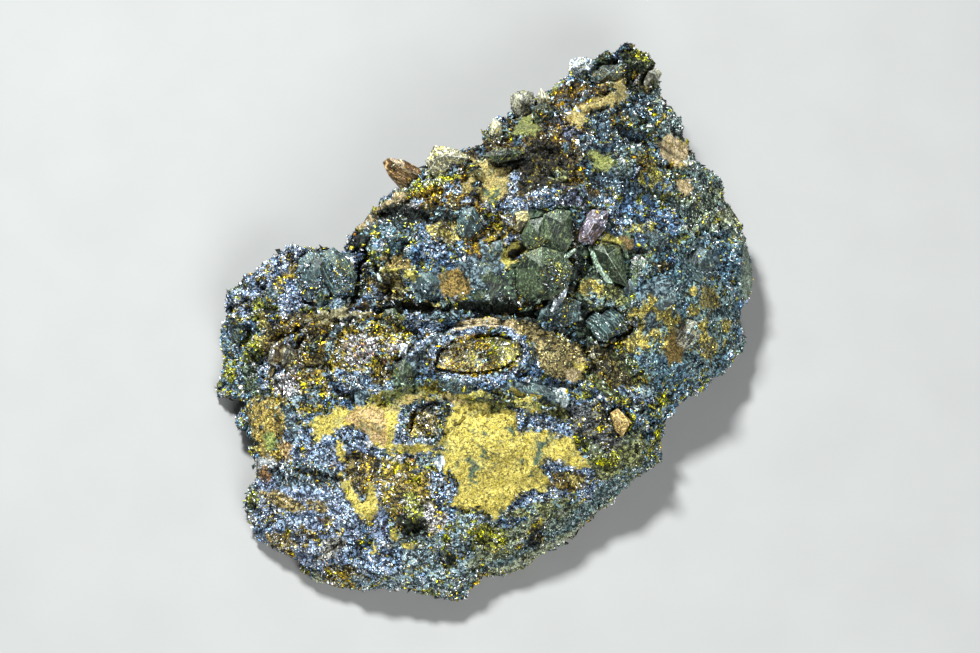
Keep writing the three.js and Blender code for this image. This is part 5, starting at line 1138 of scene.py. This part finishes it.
def crystal_material(name, deep, face, dust, dust_level, roughness, streaks, bands=None):
    """Large faces: bladed and streaked along their length, a little dusty, ribbed if bands is a width."""
    crystal = Shader(name)
    along, aslant = turn_to(streaks), turn_to(streaks + 65)
    facet = crystal.facets()
    blades = crystal.cells(0.9, crystal.drawn(along, BLADE))
    seams = 1 - crystal.between(crystal.joints(0.9, crystal.drawn(along, BLADE)), 0.03, 0.09)
    lines = crystal.noise(0.2, 2.0, crystal.drawn(along, STREAK))
    cross = crystal.noise(0.25, 2.0, crystal.drawn(aslant, STREAK))
    mosaic = crystal.cells(0.3)
    body = crystal.noise(2.2, 5.0)
    if bands:
        lines = lines * 0.6 + crystal.ribs(bands, along) * 0.4
    # Each flat face takes its own tone by the way it points: partly the faces' own tones, partly painted
    # light and shade.
    tone = facet * 0.6 + blades * 0.25 + lines * 0.5 + cross * 0.2 + body * 0.2
    colour = crystal.mix(deep, face, crystal.between(tone, 0.55, 1.15))
    # Streaks and blade seams much lighter than the face: partly striations, partly painted highlights.
    bright_streaks = crystal.between(lines * 0.75 + cross * 0.2 + (mosaic - 0.5) * 0.2, 0.53, 0.6)
    colour = crystal.mix(colour, crystal.shade(colour, 5.0), bright_streaks)
    colour = crystal.mix(colour, crystal.shade(face, 2.5), seams * crystal.between(body, 0.45, 0.55))
    chips = crystal.between(mosaic * 0.4 + body * 0.6, 0.58, 0.64)
    colour = crystal.mix(colour, crystal.shade(colour, 0.2), chips)
    grit = crystal.between(crystal.noise(0.8, 6.0) * 0.6 + body * 0.4, dust_level, dust_level + 0.04)
    colour = crystal.mix(colour, dust, grit * (0.4 + 0.6 * mosaic))
    crystal.colour(crystal.shade(colour, 0.5 + crystal.cells(0.16)))
    crystal.varying(Roughness=roughness + 0.3 * grit + 0.25 * mosaic)
    crystal.bump(lines * 0.8 + blades * 0.8 + crystal.noise(0.2, 3.0) * 0.5 + mosaic * 0.4, 0.14, 0.9)
    crystal.fixed(IOR=1.6)
    return crystal.material


def edge_highlight_material(name, colour):
    """The bright thin edges of large crystals: painted highlights, dimmed in patches."""
    edge = Shader(name)
    highlight_breakup = edge.noise(0.7, 4.0)
    dimmed_highlight = tuple(part * 0.25 for part in colour)
    edge.colour(edge.mix(dimmed_highlight, colour, edge.between(highlight_breakup, 0.4, 0.6)))
    edge.varying(Roughness=0.25 + 0.3 * highlight_breakup)
    edge.bump(edge.noise(0.3), 0.05, 0.5)
    edge.fixed(IOR=1.7)
    return edge.material


# ---------------------------------------------------------------- the mass
VOXEL = 0.42  # mm
TIP_REACH = 1.5  # how much further the north tip reaches than its plain solid, mm
CRACK_DEPTH = 1.1  # mm


def only(piece):
    bpy.ops.object.select_all(action="DESELECT")
    piece.select_set(True)
    bpy.context.view_layer.objects.active = piece


def read(items, name, width, kind=np.float32):
    """A vector from each item of a mesh, as the rows of an array."""
    values = np.empty(len(items) * width, kind)
    items.foreach_get(name, values)
    return values.reshape(-1, width)


def triangle_corners(piece):
    return read(piece.data.loop_triangles, "vertices", 3, np.int32)


def surface_of(piece):
    """The corners of a mesh's triangles, in mm, and their normals."""
    mesh = piece.data
    mesh.calc_loop_triangles()
    at = read(mesh.vertices, "co", 3).astype(float)
    corners = at[triangle_corners(piece)] / MM
    normals = np.cross(corners[:, 1] - corners[:, 0], corners[:, 2] - corners[:, 0])
    return corners, normals / np.maximum(np.linalg.norm(normals, axis=1, keepdims=True), 1e-12)


def vertices_of(piece):
    at = read(piece.data.vertices, "co", 3).astype(float)
    return at / MM, read(piece.data.vertices, "normal", 3).astype(float)


def weigh(piece, name, weights):
    """A vertex group with these weights, in tenths."""
    group = piece.vertex_groups.new(name=name)
    tenths = np.clip(np.round(weights * 10), 0, 10).astype(int)
    for tenth in range(1, 11):
        group.add(np.flatnonzero(tenths == tenth).tolist(), tenth / 10, "REPLACE")


def displace(piece, name, kind, size, height, group, metric=None):
    """Relief from a pattern of a size in mm, standing to a height in mm."""
    pattern = bpy.data.textures.new(name, kind)
    pattern.noise_scale = size * MM
    if metric:
        pattern.distance_metric = metric
    step = piece.modifiers.new(name, "DISPLACE")
    step.texture = pattern
    step.texture_coords = "LOCAL"
    step.strength = height * MM
    step.mid_level = 0.5
    step.vertex_group = group
    only(piece)
    bpy.ops.object.modifier_apply(modifier=name)


def push(piece, name, distance, way):
    """Moves the vertices in the group of this name by up to a distance in mm."""
    step = piece.modifiers.new(name, "DISPLACE")
    step.direction = way
    step.strength = distance * MM
    step.mid_level = 0
    step.vertex_group = name
    only(piece)
    bpy.ops.object.modifier_apply(modifier=name)


def relief_of(piece, rounds):
    """How far each vertex stands over its surroundings, smoothed by some rounds, in mm."""
    first, second = read(piece.data.edges, "vertices", 2, np.int32).T
    points, normals = vertices_of(piece)
    many = len(points)
    count = np.maximum(np.bincount(first, minlength=many) + np.bincount(second, minlength=many), 1)
    smooth = points.copy()
    for _ in range(rounds):
        total = []
        for at in smooth.T:
            total.append(np.bincount(first, at[second], many) + np.bincount(second, at[first], many))
        smooth = np.column_stack(total) / count[:, None]
    return ((points - smooth) * normals).sum(axis=1)


def crystal_mass():
    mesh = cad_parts["crystal_mass"].data.copy()
    mesh.materials.clear()
    rock = bpy.data.objects.new("drusy_mass", mesh)
    bpy.context.scene.collection.objects.link(rock)
    only(rock)
    bpy.ops.object.mode_set(mode="EDIT")
    bpy.ops.mesh.select_all(action="SELECT")
    bpy.ops.mesh.remove_doubles(threshold=0.002 * MM)
    bpy.ops.object.mode_set(mode="OBJECT")
    step = rock.modifiers.new("remesh", "REMESH")
    step.mode = "VOXEL"
    step.voxel_size = VOXEL * MM
    bpy.ops.object.modifier_apply(modifier="remesh")
    thin_out(rock, 0.25)
    points, normals = vertices_of(rock)
    texture = TEXTURE_OF[finish_of(points, normals)]
    rough = np.array([ROUGHNESS_OF[name] for name in TEXTURES])[texture]
    clear = np.clip((points[:, 2] - 0.6) / 1.5, 0, 1)
    weigh(rock, "all", clear)
    weigh(rock, "rough", clear * rough)
    weigh(rock, "cracks", clear * crack_at(points, normals))
    north = (points - MIDDLE) @ UP
    weigh(rock, "tip", np.clip((north - 38) / 6, 0, 1) * clear)
    push(rock, "tip", TIP_REACH, "Y")
    displace(rock, "swells", "CLOUDS", 5.0, 1.4, "all")
    displace(rock, "faces", "VORONOI", 3.6, -1.2, "rough", metric="MANHATTAN")
    displace(rock, "knobs", "VORONOI", 1.7, -0.7, "rough", metric="MANHATTAN")
    push(rock, "cracks", -CRACK_DEPTH, "NORMAL")
    only(rock)
    bpy.ops.object.mode_set(mode="EDIT")
    bpy.ops.mesh.select_all(action="SELECT")
    bpy.ops.mesh.quads_convert_to_tris()
    bpy.ops.object.mode_set(mode="OBJECT")
    return rock


def thin_out(rock, ratio):
    """Fewer faces on the base and the far side."""
    only(rock)
    bpy.ops.object.mode_set(mode="EDIT")
    bpy.ops.mesh.select_all(action="DESELECT")
    bpy.ops.object.mode_set(mode="OBJECT")
    mesh = rock.data
    normals = read(mesh.polygons, "normal", 3)
    away = (normals @ OUT < -0.25) | (normals[:, 2] < -0.6)
    mesh.polygons.foreach_set("select", away)
    bpy.ops.object.mode_set(mode="EDIT")
    bpy.ops.mesh.decimate(ratio=ratio)
    bpy.ops.object.mode_set(mode="OBJECT")


def paint_mass(rock):
    """Gives each vertex of the mass its dark and light tint and how powdery it is."""
    found = finish_of(*vertices_of(rock))
    tones = np.array([[linear(code) for code, _ in shared(PALETTES[name][1])[:3]] for name in NAMES])
    powdery = TEXTURE_OF == TEXTURES.index("powder")
    # Away from the powder the dark tint is dimmed further: painted shade between the grains.
    dark = np.where(powdery[:, None], tones[:, 0], 0.7 * tones[:, 0] + 0.1 * tones[:, 1])
    for name, tints in (("tint", dark), ("tint_light", tones[:, 2])):
        layer = rock.data.attributes.new(name, "FLOAT_COLOR", "POINT")
        values = np.column_stack([tints[found], np.ones(len(found))]).astype(np.float32)
        layer.data.foreach_set("color", values.ravel())
    layer = rock.data.attributes.new("powder", "FLOAT", "POINT")
    layer.data.foreach_set("value", powdery[found].astype(np.float32))


# ---------------------------------------------------------------- grains of the druse
# texture: spacing in front and behind, half width, height in widths, share kept
GRAINS = {
    "druse": (0.31, 0.75, 0.21, 0.85, 1.0),
    "sugar": (0.26, 0.75, 0.15, 0.8, 1.0),
    "fine": (0.31, 0.75, 0.18, 0.6, 0.95),
    "facet": (0.4, 0.9, 0.17, 0.5, 0.8),
    "powder": (0.36, 0.8, 0.10, 0.5, 0.7),
}
# How unlike each other a grain's faces are
SPARKLE = {"druse": 0.85, "sugar": 0.8, "fine": 0.65, "facet": 0.65, "powder": 0.35}
MOST_GRAINS = 48000  # in one mesh
LOWEST_GRAIN = 0.7  # over the base, mm
# How far a crack darkens the grains in it: painted shade.
CRACK_PAINTED_SHADE = 0.85
CRYSTAL_SPACING = 1.5  # of the eight-faced crystals, mm
CRYSTAL_SIZE = 0.42  # half length, mm
CRYSTAL_SHARE = 0.35  # of those places that have one


def sparkle(texture, count, rng):
    """How much lighter or darker each face of a grain is than its tone."""
    spread = SPARKLE[texture]
    return np.exp(spread * rng.normal(size=(count, 1)) - 0.25 * spread**2)


def grow_grains(rock, crest_light_hollow_shade, rng):
    """Small blades all over the mass."""
    corners, normals = surface_of(rock)
    heights = crest_light_hollow_shade[triangle_corners(rock)].mean(axis=1)
    usable = corners[:, :, 2].min(axis=1) > 0.25
    front = normals @ OUT > -0.3
    pieces = []
    for texture, (close, loose, size, tall, share) in GRAINS.items():
        found_places = []
        for some, spacing in ((usable & front, close), (usable & ~front, loose)):
            chosen = np.flatnonzero(some)
            places, face = scatter(corners[chosen], spacing, rng)
            lie = normals[chosen][face]
            found = finish_of(places, lie)
            kept = (TEXTURE_OF[found] == TEXTURES.index(texture)) & (rng.random(len(places)) < share)
            kept &= places[:, 2] > LOWEST_GRAIN
            wide = np.full(kept.sum(), size * (spacing / close) ** 0.7)
            found_places.append((places[kept], lie[kept], found[kept], heights[chosen][face][kept], wide))
        places, lie, found, height, wide = (np.concatenate(column) for column in zip(*found_places))
        tint = tones_of(found, places, height, rng)
        # Grains in cracks are darkened: painted shade.
        dark = crack_at(places, lie)
        tint *= (1 - CRACK_PAINTED_SHADE * dark)[:, None]
        order = np.argsort(places @ UP)
        count = -(-len(order) // MOST_GRAINS)
        for number, some in enumerate(np.array_split(order, max(count, 1))):
            width = wide[some] * np.exp(0.3 * rng.normal(size=len(some)))
            points, faces = shards(places[some], lie[some], width, tall, 0.5, rng)
            tints = np.repeat(tint[some], 4, axis=0) * sparkle(texture, len(some) * 4, rng)
            gloss = np.repeat(np.clip(rng.normal(0.6, 0.3, len(some)), 0, 1), 4)
            piece = solids(f"{texture}_grains_{number + 1}", points, faces, tints, gloss)
            pieces.append(piece)
    return pieces


def coat(name, corners, normals, finish, share, rng):
    """Druse over a crystal, in patches if it takes only a share. Without a finish it is that of the place."""
    spacing, _, size, tall, _ = GRAINS["druse"]
    places, face = scatter(corners, spacing, rng)
    lie = normals[face]
    patch = rank(cloud(places, 1.4, 51) + 0.5 * cloud(places, 0.5, 52)) > 1 - share
    found = np.full(len(places), NAMES.index(finish)) if finish else finish_of(places, lie)
    covered = (TEXTURE_OF[found] != TEXTURES.index("facet")) & (finish is None)
    kept = (patch | covered) & (lie @ OUT > -0.1)
    places, lie, found = places[kept], lie[kept], found[kept]
    low = TEXTURE_OF[found] > TEXTURES.index("sugar")
    tint = tones_of(found, places, 0.4 * cloud(places, 0.9, 53), rng)
    width = size * (1.4 if share == 1 else 1) * np.exp(0.3 * rng.normal(size=len(places)))
    points, faces = shards(places, lie, width, np.where(low, 0.4, 1) * tall, 0.5, rng)
    tints = np.repeat(tint, 4, axis=0) * sparkle("druse", len(places) * 4, rng)
    gloss = np.repeat(np.clip(rng.normal(0.6, 0.3, len(places)), 0, 1), 4)
    return solids(name, points, faces, tints, gloss)


def grow_crystals(rock, crest_light_hollow_shade, rng):
    """Eight-faced crystals among the grains."""
    corners, normals = surface_of(rock)
    heights = crest_light_hollow_shade[triangle_corners(rock)].mean(axis=1)
    usable = np.flatnonzero(corners[:, :, 2].min(axis=1) > 1.2)
    places, face = scatter(corners[usable], CRYSTAL_SPACING, rng)
    lie, height = normals[usable][face], heights[usable][face]
    found = finish_of(places, lie)
    kept = (TEXTURE_OF[found] == TEXTURES.index("druse")) & (rng.random(len(places)) < CRYSTAL_SHARE)
    places, lie, found, height = places[kept], lie[kept], found[kept], height[kept]
    size = np.exp(0.3 * rng.normal(size=len(places))) * CRYSTAL_SIZE
    points, faces = bipyramids(places, lie, size, 0.6, rng)
    # Darkened in cracks as painted shade, with tones lighter on crests and darker in hollows as painted light
    # and shade.
    base = tones_of(found, places, height, rng) * (1 - CRACK_PAINTED_SHADE * crack_at(places, lie))[:, None]
    tints = np.repeat(base, 8, axis=0) * np.exp(0.3 * rng.normal(size=(len(places) * 8, 1)))
    gloss = np.repeat(np.clip(rng.normal(0.7, 0.25, len(places)), 0, 1), 8)
    return solids("druse_crystals", points, faces, tints, gloss)


# ---------------------------------------------------------------- crystals grown into the mass
RAY_START = 60  # out of the display face, mm
SEAT = 0.25  # how far the rim of a crystal's face stands over the ground, mm
ROOT_WIDTH = 0.7  # in widths of the face
FUSED_EDGE = 0.1  # width of a bevelled edge, mm
NODE_EDGE = 0.07  # and on the crystals of the frame, mm


def ground_of(pieces):
    """What a crystal is seated on: the surface of these pieces, in metres."""
    corners = np.concatenate([surface_of(piece)[0] for piece in pieces]) * MM
    faces = np.arange(len(corners) * 3).reshape(-1, 3)
    return BVHTree.FromPolygons(corners.reshape(-1, 3).tolist(), faces.tolist())


def fused_crystal(number, crystal, ground):
    """A large crystal: the hull of the corners of its face, its ridge and its root."""
    _, face, ridge, root = crystal
    face, ridge = laid_out(face), laid_out(ridge)
    middle = np.mean([corner[:2] for corner in face], axis=0)
    depths = []
    for across, up in [*(corner[:2] for corner in face), middle]:
        start = MIDDLE + across * ACROSS + up * UP + RAY_START * OUT
        hit = ground.ray_cast(Vector(start * MM), Vector(-OUT))
        if hit[0] is not None:
            depths.append((np.array(hit[0]) / MM - MIDDLE) @ OUT)
    depth = float(np.median(depths)) + SEAT
    points = []
    for across, up, lift in [*face, *ridge]:
        points.append(MIDDLE + across * ACROSS + up * UP + (depth + lift) * OUT)
    for across, up, _ in face:
        at = (np.array([across, up]) - middle) * ROOT_WIDTH + middle
        points.append(MIDDLE + at[0] * ACROSS + at[1] * UP + (depth - root) * OUT)
    mesh = bpy.data.meshes.new(f"fused_crystal_{number}")
    shape = bmesh.new()
    for point in points:
        shape.verts.new(point * MM)
    hull = bmesh.ops.convex_hull(shape, input=shape.verts)
    loose = [part for part in hull["geom_interior"] if isinstance(part, bmesh.types.BMVert)]
    bmesh.ops.delete(shape, geom=loose, context="VERTS")
    shape.to_mesh(mesh)
    shape.free()
    piece = bpy.data.objects.new(mesh.name, mesh)
    bpy.context.scene.collection.objects.link(piece)
    bevel = piece.modifiers.new("edges", "BEVEL")
    bevel.width = FUSED_EDGE * MM
    bevel.segments = 1
    bevel.material = 1
    only(piece)
    bpy.ops.object.modifier_apply(modifier="edges")
    return piece


# ---------------------------------------------------------------- assembly
floor()
studio()
rng = np.random.default_rng(SEED)
rock = crystal_mass()
# How far each place stands out, for painted light on crests and painted shade in hollows.
fine_relief = np.clip(relief_of(rock, 6) / 0.25, -1, 1)
broad_relief = np.clip(relief_of(rock, 40) / 0.7, -1, 1)
crest_light_hollow_shade = 0.6 * fine_relief + 0.4 * broad_relief
paint_mass(rock)
rock.data.materials.append(rock_material())
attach(rock, "root")
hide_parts("crystal_mass")
mineral = grain_material("crystal_grain", True)
powder = grain_material("powder_grain", False)
for piece in [*grow_grains(rock, crest_light_hollow_shade, rng), grow_crystals(rock, crest_light_hollow_shade, rng)]:
    piece.data.materials.append(powder if piece.name.startswith("powder") else mineral)
    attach(piece, "root")

# deep colour, face colour, dust, how rare the dust is, roughness, way of the streaks, edge colour as a
# painted highlight, slot
TONES = {
    "olive": ((0.004, 0.008, 0.005), (0.055, 0.076, 0.04), (0.36, 0.34, 0.10), 0.6, 0.25, 70,
              (0.26, 0.3, 0.22), "olive_crystal"),
    "slate": ((0.004, 0.009, 0.011), (0.062, 0.098, 0.1), (0.4, 0.38, 0.14), 0.6, 0.3, 115,
              (0.36, 0.44, 0.44), "olive_crystal"),
    "striped": ((0.003, 0.008, 0.008), (0.045, 0.075, 0.075), (0.4, 0.38, 0.14), 0.62, 0.3, -47,
                (0.5, 0.55, 0.56), "olive_crystal"),
    "lilac": ((0.02, 0.016, 0.022), (0.19, 0.165, 0.205), (0.12, 0.055, 0.02), 0.5, 0.25, 50,
              (0.5, 0.5, 0.6), "lilac_crystal"),
    "orange": ((0.26, 0.16, 0.04), (0.48, 0.33, 0.11), (0.2, 0.1, 0.03), 0.6, 0.6, -50,
               (0.56, 0.42, 0.2), "amber_crystal"),
    "amber": ((0.07, 0.035, 0.01), (0.32, 0.20, 0.09), (0.45, 0.44, 0.4), 0.6, 0.3, -30,
              (0.5, 0.4, 0.26), "amber_crystal"),
    "cream": ((0.10, 0.09, 0.05), (0.40, 0.37, 0.25), (0.5, 0.44, 0.14), 0.54, 0.35, 80,
              (0.6, 0.6, 0.5), "amber_crystal"),
    "grey": ((0.03, 0.03, 0.02), (0.2, 0.19, 0.15), (0.4, 0.38, 0.2), 0.56, 0.35, 60,
             (0.35, 0.34, 0.28), "amber_crystal"),
    "pale": ((0.08, 0.10, 0.12), (0.60, 0.66, 0.72), (0.5, 0.44, 0.14), 0.58, 0.25, 60,
             (0.8, 0.86, 0.9), "lilac_crystal"),
    "pale_green": ((0.05, 0.08, 0.05), (0.21, 0.28, 0.21), (0.5, 0.46, 0.16), 0.6, 0.25, 60,
                   (0.6, 0.7, 0.6), "olive_crystal"),
    "brown": ((0.03, 0.024, 0.01), (0.28, 0.24, 0.10), (0.4, 0.38, 0.3), 0.56, 0.5, 20,
              (0.3, 0.22, 0.12), "brown_crust"),
}
RIBS = {"striped": 0.45}  # mm from one to the next
TONE_OF_NODE = {
    "rim_crystal_1": "amber", "rim_crystal_2": "cream", "rim_crystal_3": "cream", "rim_crystal_4": "grey",
    "rim_crystal_5": "cream", "rim_crystal_6": "pale", "rim_crystal_7": "grey", "green_crystals": "olive",
    "shaded_crystals": "slate", "spearhead_crystal": "olive", "lilac_crystal": "lilac",
    "striped_crystals": "striped", "dome_crystals": "slate", "wedge_crystal_1": "olive",
    "wedge_crystal_2": "slate", "blade_crystal": "olive", "orange_crystal": "orange",
    "oval_cell_crust": "brown", "rhomb_cell_crust": "brown", "brown_hollow_crust": "brown",
}
# Druse on the nodes: its finish, and the share of their surface under it
DRUSE_ON_NODE = {
    "oval_cell_crust": (None, 1.0), "rhomb_cell_crust": (None, 1.0), "brown_hollow_crust": (None, 1.0),
    "green_crystals": (None, 0.2), "shaded_crystals": (None, 0.15), "striped_crystals": (None, 0.08),
    "dome_crystals": (None, 0.3), "lilac_crystal": ("lilac_druse", 0.15), "spearhead_crystal": (None, 0.12),
    "wedge_crystal_1": (None, 0.3), "wedge_crystal_2": (None, 0.4), "blade_crystal": (None, 0.3),
    "rim_crystal_1": ("amber_druse", 0.15), "rim_crystal_2": ("cream_edge", 0.2),
    "rim_crystal_4": ("brown_dark_druse", 0.35), "rim_crystal_6": ("blue_white_druse", 0.4),
}
# Each tone's faces, and its bevelled edges in a painted highlight.
LOOKS = {
    tone: (crystal_material(f"{tone}_crystal", *look[:6], RIBS.get(tone)),
           edge_highlight_material(f"{tone}_edge", look[6]))
    for tone, look in TONES.items()
}


def dress(piece, tone):
    for look in LOOKS[tone]:
        piece.data.materials.append(look)


for name, tone in TONE_OF_NODE.items():
    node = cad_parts[name]
    node.data.materials.clear()
    dress(node, tone)
    weld = node.modifiers.new("weld", "WELD")
    weld.merge_threshold = 0.001 * MM
    if tone != "brown":
        bevel = node.modifiers.new("edges", "BEVEL")
        bevel.width = NODE_EDGE * MM
        bevel.segments = 1
        bevel.material = 1
for name, (finish, share) in DRUSE_ON_NODE.items():
    piece = coat(f"{name}_druse", *surface_of(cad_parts[name]), finish, share, rng)
    piece.data.materials.append(mineral)
    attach(piece, "root")
ground = ground_of([rock, *(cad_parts[name] for name in TONE_OF_NODE)])
bare = []
for number, crystal in enumerate(COATED_CRYSTALS + BARE_CRYSTALS, 1):
    tone = crystal[0]
    piece = fused_crystal(number, crystal, ground)
    dress(piece, tone)
    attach(piece, "root")
    if number <= len(COATED_CRYSTALS):
        bare.append(surface_of(piece))
piece = coat("fused_crystals_druse", *(np.concatenate(part) for part in zip(*bare)), None, 0.35, rng)
piece.data.materials.append(mineral)
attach(piece, "root")
